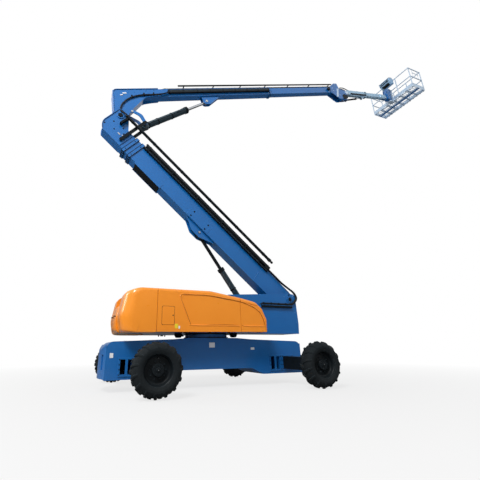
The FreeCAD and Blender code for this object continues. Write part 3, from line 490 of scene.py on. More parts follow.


# Each finish: its material's name, its two cloudy colours, its roughness and what else it has
# An edge colour lighter than its paint is worn paint and also a painted highlight along the edges
finishes = {
    "boom_blue": finish_of(
        "blue_enamel", (0.003, 0.108, 0.36), (0.004, 0.128, 0.40), 0.30, coat=0.30,
        specular=0.42, edge_wear_and_highlight_colour=(0.05, 0.27, 0.60), dust=0.03),
    "cover_yellow": finish_of(
        "amber_enamel", (0.90, 0.30, 0.022), (0.83, 0.25, 0.014), 0.30, coat=0.45,
        patch_scale=1.2, ripple=160.0, dust=0.03),
    # A darker copy of the amber: painted shade of the groove inside the cover's bead
    "cover_seam": finish_of(
        "amber_seam", (0.30, 0.075, 0.006), (0.24, 0.06, 0.005), 0.5, patch_scale=5.0, dust=0.0,
        specular=0.1),
    "black_paint": finish_of(
        "black_enamel", (0.003, 0.005, 0.007), (0.006, 0.010, 0.013), 0.42, coat=0.03,
        specular=0.10, edge_wear_and_highlight_colour=(0.03, 0.045, 0.055), dust=0.01),
    # The tyre's pale edge colour is a painted highlight on its lug edges
    "tyre": finish_of(
        "tyre_rubber", (0.004, 0.007, 0.009), (0.010, 0.014, 0.017), 0.78, patch_scale=7.0,
        dust=0.015, ripple=500.0, bump=0.0008, rough_change=0.15, specular=0.12,
        edge_wear_and_highlight_colour=(0.045, 0.070, 0.085)),
    "hose_black": finish_of(
        "hose_rubber", (0.005, 0.007, 0.010), (0.010, 0.013, 0.016), 0.55, patch_scale=12.0,
        dust=0.04, ripple=600.0, bump=0.0004, specular=0.2),
    "barrel_grey": finish_of(
        "slate_enamel", (0.012, 0.030, 0.044), (0.018, 0.040, 0.056), 0.34, coat=0.2,
        edge_wear_and_highlight_colour=(0.08, 0.11, 0.13), dust=0.03),
    "chrome": finish_of(
        "hard_chrome", (0.62, 0.64, 0.67), (0.56, 0.58, 0.61), 0.16, metallic=1.0, dust=0.02,
        ripple=90.0, bump=0.0001, rough_change=0.08),
    # Near-white edge colour: painted highlight along the edges
    "galvanised": finish_of(
        "pale_silver", (0.42, 0.56, 0.72), (0.52, 0.64, 0.78), 0.36, metallic=0.35,
        specular=0.4, patch_scale=14.0, edge_wear_and_highlight_colour=(0.8, 0.86, 0.92), dust=0.04, ripple=300.0,
        bump=0.0003),
    "cast_iron": finish_of(
        "engine_iron", (0.035, 0.037, 0.040), (0.06, 0.055, 0.05), 0.6, metallic=0.3,
        patch_scale=9.0, ripple=120.0, bump=0.0015),
    "console_grey": finish_of(
        "console_shell", (0.26, 0.44, 0.66), (0.32, 0.52, 0.74), 0.40, patch_scale=20.0,
        dust=0.04, ripple=700.0, bump=0.0003, specular=0.4),
    # Near-white edge colour: painted highlight along the jib's edges
    "jib_steel": finish_of(
        "jib_steel", (0.24, 0.42, 0.60), (0.30, 0.49, 0.66), 0.30, metallic=0.25, specular=0.5,
        coat=0.3, patch_scale=8.0, edge_wear_and_highlight_colour=(0.75, 0.86, 0.95), dust=0.0, ripple=200.0,
        bump=0.0003),
    "plate_white": finish_of(
        "blank_plate", (0.78, 0.80, 0.82), (0.70, 0.72, 0.74), 0.45, patch_scale=25.0),
    "plate_yellow": finish_of(
        "blank_yellow_plate", (0.80, 0.62, 0.03), (0.74, 0.56, 0.03), 0.45, patch_scale=25.0),
    "zinc": finish_of(
        "zinc_fastener", (0.55, 0.56, 0.56), (0.45, 0.46, 0.46), 0.34, metallic=1.0,
        patch_scale=30.0, ripple=300.0, bump=0.0002),
    "lamp_red": finish_of(
        "red_plastic", (0.55, 0.012, 0.008), (0.48, 0.010, 0.008), 0.3, coat=0.3,
        patch_scale=30.0),
}
# Solids whose colour in the photograph isn't that of their slot
node_finishes = {"lift_cylinder_barrel": "barrel_grey", "upper_cylinder_barrel": "barrel_grey",
                 "jib_outer": "jib_steel", "jib_inner": "jib_steel",
                 "counterweight": "cover_yellow"}


def piece(name, shape, body, finish):
    """A mesh from whole arrays: doubles at poles merge, faces turn outwards, creases stay sharp.
    """
    points, faces = shape
    mesh = bpy.data.meshes.new(name)
    mesh.vertices.add(len(points))
    mesh.vertices.foreach_set("co", np.asarray(points, np.float32).ravel())
    mesh.loops.add(faces.size)
    mesh.loops.foreach_set("vertex_index", faces.astype(np.int32).ravel())
    mesh.polygons.add(len(faces))
    mesh.polygons.foreach_set("loop_start", np.arange(0, faces.size, 4, dtype=np.int32))
    mesh.update(calc_edges=True)
    work = bmesh.new()
    work.from_mesh(mesh)
    bmesh.ops.remove_doubles(work, verts=work.verts, dist=5e-5)
    bmesh.ops.recalc_face_normals(work, faces=work.faces)
    work.to_mesh(mesh)
    work.free()
    mesh.shade_smooth()
    mesh.set_sharp_from_angle(angle=math.radians(38.0))
    made = bpy.data.objects.new(name, mesh)
    bpy.context.scene.collection.objects.link(made)
    made.data.materials.append(finishes[finish])
    if isinstance(body, str):
        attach(made, body)
    else:
        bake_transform(made)
    return made


def dress_solids():
    """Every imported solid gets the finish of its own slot, or the one named for it above."""
    slots = {part["node"]: part["material_slot"] for part in frame["record"]["subparts"]}
    for name, solid in nodes.items():
        solid.data.materials.clear()
        solid.data.materials.append(finishes[node_finishes.get(name, slots[name])])


# Wheels

def step_up(x, start, stop):
    """0 below start, 1 above stop, and a smooth cubic between."""
    t = np.clip((x - start) / (stop - start), 0, 1)
    return t * t * (3 - 2 * t)


def tyre_shape(centre):
    """Carcass around a closed section, with r raised by a lug mask m(a, y).

    The section runs over the tread, whose height falls as a cube of the offset y, down the two
    bulged walls and back under the bead. The mask is 1 where the turn a, less the slant of the lug
    at that offset, lies within half a lug of the nearest lug's middle; the other row is half a
    step round.
    """
    base, bead = tyre_radius - lug_height, rim_radius + 0.002
    shoulder = 0.105  # how far the tread falls from its middle to the wall
    across = np.linspace(-1, 1, 45)
    tread = np.stack([base - shoulder * np.abs(across) ** 3.2, tyre_half * 0.985 * across], -1)
    fall = np.linspace(0, 1, 12)[1:]
    wall_r = base - shoulder + (bead - base + shoulder) * fall
    wall_y = tyre_half * (0.985 + 0.015 * np.sin(np.pi * fall) - 0.13 * fall ** 2)
    under = np.stack([np.full(3, bead), np.array([0.5, 0.0, -0.5]) * tyre_half], -1)
    section = np.concatenate([tread, np.stack([wall_r, wall_y], -1), under,
                              np.stack([wall_r, -wall_y], -1)[::-1]])
    r, y = section.T
    offset = np.abs(y) / tyre_half
    a = np.linspace(0, 2 * np.pi, 540, endpoint=False)[:, None]
    step = 2 * np.pi / lug_count
    row = np.where(y > 0, 0.0, 0.5) * step
    turn = a - row - lug_slant * offset / tyre_radius
    away = np.abs((turn / step + 0.5) % 1 - 0.5) * step * tyre_radius
    wide = lug_width / 2 * (1 - 0.12 * offset)
    mask = 1 - step_up(away, wide - 0.006, wide + 0.004)
    mask = mask * step_up(np.abs(y), 0.004, 0.014) * step_up(r, base - 0.135, base - shoulder)
    radial = r + (lug_height - 0.001) * mask * np.clip(1 - 0.35 * offset ** 4, 0, 1)
    rib = 0.004 * np.exp(-((r - (base - 0.15)) / 0.008) ** 2)
    lateral = np.clip(y + np.sign(y) * rib, -tyre_half, tyre_half) + 0 * a
    points = np.stack([radial * np.sin(a), lateral, radial * np.cos(a)], -1) + np.asarray(centre)
    return points.reshape(-1, 3), grid_faces(len(a), len(r), wrap_rows=True, wrap_columns=True)


def rim_shape(centre, side):
    """The wheel's pressing, turned: a closed section from the hub over the dish, back to it."""
    r, edge, disc = rim_radius, 0.150, 0.05
    front = [(0.052, hub_face), (0.118, hub_face), (0.124, 0.122), (0.136, disc + 0.006),
             (0.150, disc), (0.205, disc), (0.235, disc - 0.012), (0.268, disc - 0.012),
             (r - 0.034, disc + 0.004), (r - 0.024, disc + 0.022), (r - 0.020, edge - 0.020),
             (r - 0.008, edge - 0.006), (r, edge)]
    back = [(r, -edge), (r - 0.004, -edge), (r - 0.016, -edge + 0.010), (r - 0.026, -0.06),
            (r - 0.032, 0.018), (0.20, 0.020), (0.15, 0.020), (0.126, -0.108), (0.052, -0.108)]
    return turned(front + back + front[:1], centre, (0, side, 0), 72)


def wheels():
    """Treads and dishes in place of the plain ones, nuts on studs, hub caps and valves."""
    turn = np.linspace(0, 2 * np.pi, 10, endpoint=False)
    places = stud_circle * np.stack([np.cos(turn), 0 * turn, np.sin(turn)], -1)
    for name in corner_names:
        centre = np.array(joints["wheel_spin_" + name]["pos_m"])
        side, body = (-1 if "near" in name else 1), "wheel_" + name
        out = (0, side, 0)
        tread = piece("tyre_tread_" + name, tyre_shape(centre), body, "tyre")
        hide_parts("tyre_" + name)
        dish = piece("rim_dish_" + name, rim_shape(centre, side), body, "black_paint")
        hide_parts("wheel_rim_" + name)
        nuts = repeat(hexagon(0.017, 0.048, 0.072, centre, out), places)
        studs = repeat(drum(0.009, 0.07, 0.084, centre, out, count=10), places)
        piece("wheel_nuts_" + name, join([nuts, studs]), body, "black_paint")
        cap = turned([(pole, 0.150), (0.030, 0.149), (0.046, 0.142), (0.050, hub_face)],
                     centre, out, 32)
        heads = repeat(hexagon(0.010, 0.127, 0.137, centre, out), places * 0.085 / stud_circle)
        piece("hub_cap_" + name, join([cap, heads]), body, "black_paint")
        nipple = drum(0.008, 0.149, 0.160, centre, out, count=12)
        valve = hose([centre + (0, side * y, z) for y, z in (
            (0.05, 0.26), (0.09, 0.255), (0.115, 0.235))], 0.006, 12, 8)
        piece("hub_nipple_" + name, join([nipple, valve]), body, "zinc")


# Running gear and chassis

def running_gear():
    """Kingpin caps, brake hoses with their fittings, and the bolts of the beams' mouths."""
    mouth_face = 0.642
    route = ((1, 1.455, 0.752), (1, 1.50, 0.81), (1.2, 1.63, 0.86), (1.1, 1.78, 0.83),
             (0.7, 1.845, 0.72))  # share of the hose's offset in x, then y and z
    for name in corner_names:
        x, y = joints["steering_" + name]["pos_m"][:2]
        side = np.sign(y)
        cap = turned([(pole, 0.026), (0.030, 0.024), (0.050, 0.012), (0.056, 0.0),
                      (0.056, -0.01)], (x, y, 0.775), up, 24)
        pin = drum(0.008, 0.02, 0.045, (x, y, 0.775), up, count=10)
        piece("kingpin_cap_" + name, join([cap, pin]), "steer_" + name, "black_paint")
        lines = [hose([(x + dx * share, side * y, z) for share, y, z in route], 0.011, 40)
                 for dx in (-0.10, 0.10)]
        held = ("axle_" + name, "steer_" + name, (x, side * 1.53, 0.7), (x, side * 1.76, 0.7))
        piece("axle_hoses_" + name, join(lines), held, "hose_black")
        ends = bolts([(x + dx, side * 1.455, 0.745) for dx in (-0.10, 0.10)], up, 0.018, 0.022)
        clips = bolts([(x + dx, side * 1.425, 0.745) for dx in (-0.05, 0.0, 0.05)], up,
                      0.012, 0.012)
        piece("hose_fittings_" + name, join([ends, clips]), "axle_" + name, "zinc")
        heads = [bolts([(x + dx, out * mouth_face, z) for dx in (-0.178, 0.178)
                        for z in (0.40, 0.52, 0.63, 0.75)], (0, out, 0), 0.011, 0.009)
                 for out, _ in sides]
        piece("mouth_bolts_" + name, join(heads), "chassis", "black_paint")


def chassis_details():
    """Blank plates, the pedestal's flange, the slew ring's teeth and drives, and the end lids."""
    plates = [slab(level_line, rectangle((x, z), wide / 2, high / 2, 0.008, 3),
                   -0.6235, -0.6190, 0.001)
              for x, z, wide, high in ((-2.760, 0.845, 0.085, 0.11), (-0.065, 1.077, 0.17, 0.13),
                                       (1.217, 0.974, 0.12, 0.065))]
    piece("chassis_blank_plates", twice(*plates), "chassis", "plate_white")
    flange = turned([(0.615, 0.0), (0.655, 0.0), (0.660, 0.004), (0.660, 0.020), (0.655, 0.024),
                     (0.615, 0.024)], (0, 0, 1.262), up, 96)
    heads = bolts(ring_places((0, 0, 1.286), up, 0.640, 28), up, 0.012, 0.012)
    piece("pedestal_flange", join([flange, heads]), "chassis", "black_paint")
    count, foot, top = 96, 1.3605, 1.383
    a = np.linspace(0, 2 * np.pi, count * 8, endpoint=False)
    tooth = 0.646 + 0.010 * np.clip(3 * np.sin(count * a), -1, 1)
    root = 0.634 + 0 * a
    points = np.stack([np.stack([r * np.cos(a), r * np.sin(a), z + 0 * a], -1)
                       for r, z in ((root, foot), (tooth, foot), (tooth, top), (root, top))])
    gear = points.reshape(-1, 3), grid_faces(4, len(a), wrap_columns=True)
    piece("slew_teeth", gear, "turntable", "black_paint")
    drives = []
    for x, y in ((0.775, -0.28), (-0.775, 0.28)):
        drives.append(turned([(pole, 0.0), (0.060, 0.0), (0.095, 0.015), (0.100, 0.05),
                              (0.115, 0.055), (0.115, 0.11), (0.09, 0.112)],
                             (x, y, 1.290), up, 36))
        drives.append(bolts(ring_places((x, y, 1.345), up, 0.107, 8), (0, 0, -1), 0.007, 0.006))
    piece("slew_drives", join(drives), "turntable", "black_paint")
    lids = []
    for x in (-2.25, 2.25):
        lids.append(turned([(pole, 0.012), (0.150, 0.012), (0.156, 0.006), (0.156, -0.004)],
                           (x, 0, 1.184), up, 40))
        lids.append(bolts(ring_places((x, 0, 1.195), up, 0.135, 8), up, 0.009, 0.008))
    piece("chassis_lids", join(lids), "chassis", "boom_blue")


# Covers and turntable

def covers():
    """On each side: the bead round the panel with a line of painted shade inside it, the door with its lock,
    catches, plates.

    The bead's path is split where the hood ends, so that its front part stays with the nose.
    """
    path = smooth_path([(1.290, 1.560), (0.0, 1.560), (-0.860, 1.560), (-0.945, 1.600),
                        (-1.060, 1.870), (-1.200, 2.210), (-1.205, 2.310), (-1.120, 2.352),
                        (-0.800, 2.352), (-0.400, 2.350), (0.050, 2.300), (0.520, 2.235),
                        (0.800, 2.155), (1.000, 2.070), (1.170, 1.950), (1.270, 1.780),
                        (1.310, 1.640), (1.290, 1.560)], 400)
    on_hood = path[:, 0] < 0.544
    hood_path, first = path[on_hood], int(np.argmax(on_hood))
    nose_path = np.concatenate([path[first + len(hood_path):], path[:first]])
    nose_path = nose_path[nose_path[:, 0] > 0.556]

    def beaded(path, side, radius, sunk, shrink=0.0):
        """A tube on the path, sunk in the face and drawn in towards the panel's middle."""
        inward = np.array([0.08, 1.90]) - path
        path = path + inward / np.linalg.norm(inward, axis=1)[:, None] * shrink
        face = np.full(len(path), side * cover_side - side * sunk)
        return tube(np.stack([path[:, 0], face, path[:, 1]], -1), radius, 8)

    door = rectangle((-1.520, 1.785), 0.161, 0.226, 0.035)
    # A black ring a little wider than the door, under its edge: painted shade of the gap round the door
    gap_shade = door + np.sign(door - door.mean(axis=0)) * 0.006
    for side, name in sides:
        hood, out, face = "hood_" + name, (0, side, 0), side * cover_side

        def raised(outline, sunk, height, edge):
            return slab(level_line, outline,
                        *span(side, cover_side - sunk, cover_side + height), edge)

        # The second tube, in darker amber, is painted shade along the inside of the bead
        for kind, finish, sizes in (("bead", "cover_yellow", (0.019, 0.007)),
                                    ("seam", "cover_seam", (0.008, 0.005, 0.021))):
            piece("hood_" + kind + "_" + name, beaded(hood_path, side, *sizes), hood, finish)
            piece("nose_" + kind + "_" + name, beaded(nose_path, side, *sizes), "turntable",
                  finish)
        piece("cover_door_" + name, raised(door, 0.010, 0.004, 0.003), hood, "cover_yellow")
        piece("door_gasket_" + name, raised(gap_shade, 0.010, 0.0012, 0.0005), hood, "hose_black")
        lock = turned([(pole, 0.0), (0.004, 0.0), (0.005, 0.004), (0.014, 0.005), (0.017, 0.002),
                       (0.017, -0.01)], (-1.395, face + side * 0.004, 1.790), out, 20)
        hooks = [drum(0.020, 0.0, 0.05, (x, face - side * 0.09, 1.372), out, count=16)
                 for x in (-1.15, -0.95, -0.35, 0.20)]
        latches = [raised(rounded([(x - 0.05, 1.36), (x + 0.05, 1.36), (x + 0.03, 1.41),
                                   (x - 0.03, 1.41)], 0.01), 0.08, -0.06, 0.002)
                   for x in (-1.05, -0.35, 0.20)]
        piece("cover_lock_" + name, join([lock] + hooks + latches), hood, "hose_black")
        for x, z, wide, high, finish in ((-1.300, 1.530, 0.085, 0.110, "plate_yellow"),
                                         (-1.225, 1.500, 0.040, 0.070, "plate_white")):
            plate = raised(rectangle((x, z), wide / 2, high / 2, 0.006, 3), 0.002, 0.0015, 0.0006)
            piece("cover_" + finish + "_" + name, plate, hood, finish)
        if name == "far":
            slats = [raised(rectangle((x, 1.82), 0.012, 0.20, 0.012), 0.006, 0.003, 0.002)
                     for x in np.linspace(-2.30, -1.95, 8)]
            piece("cover_slats_" + name, join(slats), "turntable", "hose_black")
    loops = [hose([(x, y + dy, 1.82) for x, dy in (
        (-2.690, -0.07), (-2.735, -0.07), (-2.750, -0.05), (-2.750, 0.05), (-2.735, 0.07),
        (-2.690, 0.07))], 0.010, 30) for y in (-0.25, 0.25)]
    piece("tail_loops", join(loops), "turntable", "black_paint")


def rear_covers():
    """The rear covers with rounded corners in place of the plain ones, and the panel between.

    One side outline is carried across in y. At each station it is drawn in towards its front by
    what a quarter circle takes away in plan, and towards its foot by what another takes away at
    the top edge.
    """
    front, rear, foot, top, inner = -1.815, -2.700, 1.380, 2.470, 0.471
    corner, crown, steps = 0.320, 0.075, 8

    def taken_away(y, radius):
        past = np.clip(y - (cover_side - radius), 0, radius)
        return radius - np.sqrt(radius ** 2 - past ** 2)

    outline = rounded([(front, foot), (front, top), (-2.340, top), (-2.590, 2.370),
                       (rear, 1.760), (-2.625, foot)], 0.10, steps)
    # The two front corners stay square, against the next cover
    outline[:steps] = (front, foot)
    outline[:steps, 1] += np.linspace(0.0, 0.03, steps)
    outline[steps:2 * steps] = (front, top)
    outline[steps:2 * steps, 1] -= np.linspace(0.03, 0.0, steps)

    start = cover_side - corner
    y = np.concatenate([np.linspace(inner, start, 6)[:-1],
                        start + corner * np.sin(np.linspace(0, np.pi / 2, 16))])
    in_plan = 1 - taken_away(y, corner) / (front - rear)
    on_top = 1 - taken_away(y, crown) / (top - foot)
    x = front + (outline[None, :, 0] - front) * in_plan[:, None]
    z = foot + (outline[None, :, 1] - foot) * on_top[:, None]
    grid = np.stack([x, y[:, None] + 0 * x, z], -1)
    middle = grid[[0, -1]].mean(axis=1, keepdims=True)
    ends = middle + (grid[[0, -1]] - middle) * 1e-4
    points = np.concatenate([ends[:1], grid, ends[1:]])
    far = points.reshape(-1, 3), grid_faces(len(points), len(outline), wrap_columns=True)
    for name, shape in (("far", far), ("near", mirror(far))):
        made = piece("rear_cover_" + name, shape, "turntable", "cover_yellow")
        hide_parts("cover_" + name + "_rear")
    tail = rounded([(-2.630, 1.385), (-2.712, 1.480), (-2.716, 1.760), (-2.640, 2.105),
                    (-2.300, 2.105), (-2.300, 1.385)], 0.05)
    piece("tail_panel", slab(level_line, tail, -0.468, 0.468, 0.02), "turntable", "cover_yellow")


def turntable_details():
    """Hoses along the ledge and round the boom's foot, the foot pin's caps, and the valve block."""
    runs = []
    for i, (dy, dz) in enumerate(((0.0, 0.0), (0.030, 0.002), (0.010, 0.028), (0.036, 0.030))):
        y, z, reach = -0.463 - dy, 2.288 + dz, 0.02 * (i % 2)
        ledge = [(1.675, y, z - 0.03), (1.80, y, z), (2.20, y, z), (2.62, y, z + 0.002),
                 (2.86, y, z + 0.02)]
        turn = [(3.00, y - 0.005, z + 0.14), (3.04, y, 2.56), (2.985, y + 0.05, 2.72),
                (2.86, y + 0.13, 2.86), (2.62, y + 0.17, 3.05), (2.36, y + 0.175, 3.28),
                (2.02, y + 0.18, 3.57)]
        runs.append(hose(ledge + [(x + reach, *rest) for x, *rest in turn], 0.019, 150))
    held = ("turntable", "lower_boom", (2.95, -0.45, 2.60), (2.62, -0.30, 3.0))
    piece("ledge_hoses", join(runs), held, "hose_black")
    clamps = [slab(level_line, rectangle((x, 2.3075), 0.02, 0.0375, 0.008), -0.525, -0.448, 0.002)
              for x in (1.78, 2.05, 2.33, 2.60)]
    clamps.append(bar(level_line, 1.72, 2.84, 2.195, 2.255, -0.515, -0.442, 0.006))
    piece("ledge_clamps", join(clamps), "turntable", "black_paint")
    foot = np.array(joints["lower_lift"]["pos_m"])
    for side, name in sides:
        out = (0, side, 0)
        cap = turned([(pole, 0.010), (0.052, 0.010), (0.058, 0.004), (0.060, 0.0),
                      (0.060, -0.02)], foot + (0, side * 0.480, 0), out, 32)
        heads = bolts(ring_places(foot + (0, side * 0.465, 0), out, 0.088, 8, 0.2), out,
                      0.009, 0.008)
        keeper = slab(level_line, rectangle((foot[0], foot[2] + 0.12), 0.02, 0.05, 0.01),
                      *span(side, 0.441, 0.452), 0.002)
        piece("foot_pin_cap_" + name, join([cap, heads, keeper]), "turntable",
              "zinc" if name == "far" else "black_paint")
        marks = bolts([(x, side * 0.440, z) for x, z in (
            (2.99, 1.75), (2.99, 2.05), (2.62, 2.56), (2.95, 2.60), (1.70, 2.58), (1.20, 2.55),
            (0.75, 2.50))], out, 0.015, 0.010)
        piece("side_plate_bolts_" + name, marks, "turntable", "boom_blue")
    block = slab(level_line, rectangle((1.15, 1.58), 0.20, 0.12, 0.02), 0.18, 0.36, 0.008)
    coils = [drum(0.026, 0.0, 0.09, (x, y, 1.70), up, count=20)
             for x in np.linspace(1.0, 1.3, 5) for y in (0.22, 0.31)]
    piece("valve_block", join([block] + coils), "turntable", "cast_iron")
    lines = [hose([(x, 0.20, 1.62), (x, 0.10, 1.60), (x + 0.1, -0.02, 1.50),
                   (x + 0.35, -0.25, 1.49), (x + 0.9, -0.33, 1.52), (2.85, -0.36, 1.60)],
                  0.012, 60) for x in (1.0, 1.08, 1.16, 1.24)]
    piece("valve_hoses", join(lines), "turntable", "hose_black")


# Lower boom

def lower_boom_details():
    """Wear strips and screws at the mouth, the lug's plates, painted shade in the pocket, and the welds."""
    collars = (lower_end - 0.305, lower_end - 0.045)
    strips = [band(lower, s, s + 0.012, 0.0, lower_half + 0.006, lower_side + 0.006, 0.026)
              for s in (lower_end - 0.364, lower_end - 0.256, lower_end - 0.104,
                        lower_end + 0.003)]
    piece("collar_strips", join(strips), "lower_boom", "hose_black")
    face = lower_half + 0.025
    places = [lower.at(s, -face, y) for s in (lower_end - 0.325, lower_end - 0.285,
                                              lower_end - 0.065, lower_end - 0.025)
              for y in (-0.17, -0.06, 0.06, 0.17)]
    tops = [lower.at(s, face, y) for s in collars for y in (-0.17, 0.17)]
    screws = [shape for spots, way, tall in ((places, -lower.across, 0.052),
                                             (tops, lower.across, 0.045))
              for shape in (bolts(spots, way, 0.014, 0.020),
                            repeat(drum(0.008, 0.0, tall, (0, 0, 0), way, count=10), spots))]
    near = bolts([lower.at(s, n, -lower_side - 0.025) for s in collars for n in (-0.24, 0.20)],
                 (0, -1, 0), 0.013, 0.014)
    piece("collar_screws", join(screws + [near, mirror(near)]), "lower_boom", "black_paint")
    outline = rounded([(3.46, -0.328), (4.42, -0.328), (4.42, -0.06), (4.22, 0.02), (3.66, 0.02),
                       (3.46, -0.06)], 0.03)
    backing = slab(lower, outline, -lower_side - 0.008, -lower_side + 0.002, 0.003)
    studs = [drum(0.030, 0.0, 0.016, lower.at(s, n, -lower_side), (0, -1, 0), edge=0.006,
                  count=24) for s, n in ((3.62, -0.07), (4.26, -0.07), (3.62, -0.26),
                                         (4.26, -0.26))]
    piece("lug_backing", twice(backing), "lower_boom", "boom_blue")
    piece("lug_studs", twice(*studs), "lower_boom", "black_paint")
    gussets = [slab(lower, [(s, -0.34), (s + 0.020, -0.34), (s + 0.020, -0.50), (s, -0.50)],
                    -0.095, 0.095, 0.002) for s in (3.40, 3.93)]
    piece("lug_gussets", join(gussets), "lower_boom", "boom_blue")
    # A black sheet across the pocket under the boom: painted shade inside it
    pocket = bar(lower, lower_end - 1.70, lower_end - 0.62, -lower_half - 0.035,
                 -lower_half - 0.002, -0.205, 0.205)
    piece("pocket_panel", pocket, "lower_boom", "black_paint")
    s, weld = np.linspace(1.32, lower_end - 0.37, 60), 0.006
    seams = [tube(lower.at(s, k * (lower_half + 0.001), side * (lower_side + 0.001)), weld, 6)
             for k, side in ((-1, -1), (-1, 1), (1, 1))]
    foot_s, foot_n = smooth_path([(1.30, 0.325), (1.31, 0.0), (1.30, -0.325)], 24).T
    seams += [tube(lower.at(foot_s, foot_n, side * (lower_side + 0.006)), weld, 6)
              for side, _ in sides]
    piece("boom_seams", join(seams), "lower_boom", "boom_blue")


def track_details():
    """The open hose channel on the near side, the carrier's links and hoses in it, its straps."""
    foot, end, wall = 1.10, 6.95, 0.012

    def run(n0, n1, y0, y1):
        return bar(lower, foot, end, n0, n1, y0, y1, 0.002)

    channel = [run(track_low, track_high, track_in - wall, track_in)]
    channel += [run(n, n + wall, track_out, track_in) for n in (track_low, track_high - wall)]
    channel.append(run(track_high - 0.080, track_high, track_out, track_out + wall))
    piece("hose_channel", join(channel), "lower_boom", "hose_black")
    link = slab(lower, rectangle((0, 0), 0.036, 0.028, 0.02), -0.035, 0.035, 0.004)
    places = lower.at(np.arange(1.56, 6.90, 0.083), 0.290, -0.262) - lower.origin
    piece("carrier_links", repeat(link, places), "lower_boom", "black_paint")
    lines = [tube(lower.at(np.linspace(1.52, 6.93, 40), n, y), 0.012, 8)
             for n, y in ((0.345, -0.240), (0.345, -0.275), (0.372, -0.258), (0.395, -0.285))]
    piece("track_hoses", join(lines), "lower_boom", "hose_black")
    rail = run(0.2475, 0.2595, -0.326, -0.3205)
    rivets = bolts([lower.at(s, 0.253, -0.3255) for s in np.arange(1.22, 6.9, 0.40)],
                   (0, -1, 0), 0.008, 0.006)
    piece("track_edge", join([rail, rivets]), "lower_boom", "barrel_grey")
    straps = [bar(lower, s, s + 0.05, 0.240, 0.441, -0.330, -0.2105, 0.004)
              for s in (1.20, 2.20, 3.35, 4.50, 5.65, 6.75)]
    straps += [bar(lower, s, s + 0.04, lower_half + 0.001, lower_half + 0.099, -0.199, -0.071,
                   0.003) for s in np.linspace(1.60, 6.80, 9)]
    piece("track_straps", join(straps), "lower_boom", "black_paint")


def pipe_details():
    """The long pipe's swivel at its foot, its bands with their bolts, and its end flange."""
    n, y, r = pipe_n, pipe_y, pipe_radius
    start, end = 1.300, knuckle_s - 0.220
    ball = turned([(pole, -0.150), (0.026, -0.148), (0.040, -0.130), (0.043, -0.105),
                   (0.038, -0.080), (0.026, -0.066), (0.026, -0.050), (r + 0.008, -0.046),
                   (r + 0.010, 0.050), (r, 0.060)], lower.at(start, n, y), lower.along, 32)
    piece("pipe_swivel", ball, "lower_extension", "hose_black")
    stations = (1.60, 2.90, 4.20, 5.50, 6.80)
    bands = [hoop(r - 0.0005, r + 0.006, 0.03, lower.at(s, n, y), lower.along)
             for s in stations + (end - 0.25,)]
    heads = [bolts([lower.at(s, n - r - 0.004, y)], -lower.across, 0.010, 0.012)
             for s in stations]
    piece("pipe_bands", join(bands + heads), "lower_extension", "black_paint")
    flange = turned([(pole, 0.055), (0.036, 0.055), (0.040, 0.03), (0.066, 0.028), (0.066, 0.0),
                     (r, -0.01)], lower.at(end, n, y), lower.along, 32)
    heads = bolts(ring_places(lower.at(end + 0.028, n, y), lower.along, 0.056, 6), lower.along,
                  0.007, 0.008)
    piece("pipe_flange", join([flange, heads]), "lower_extension", "black_paint")


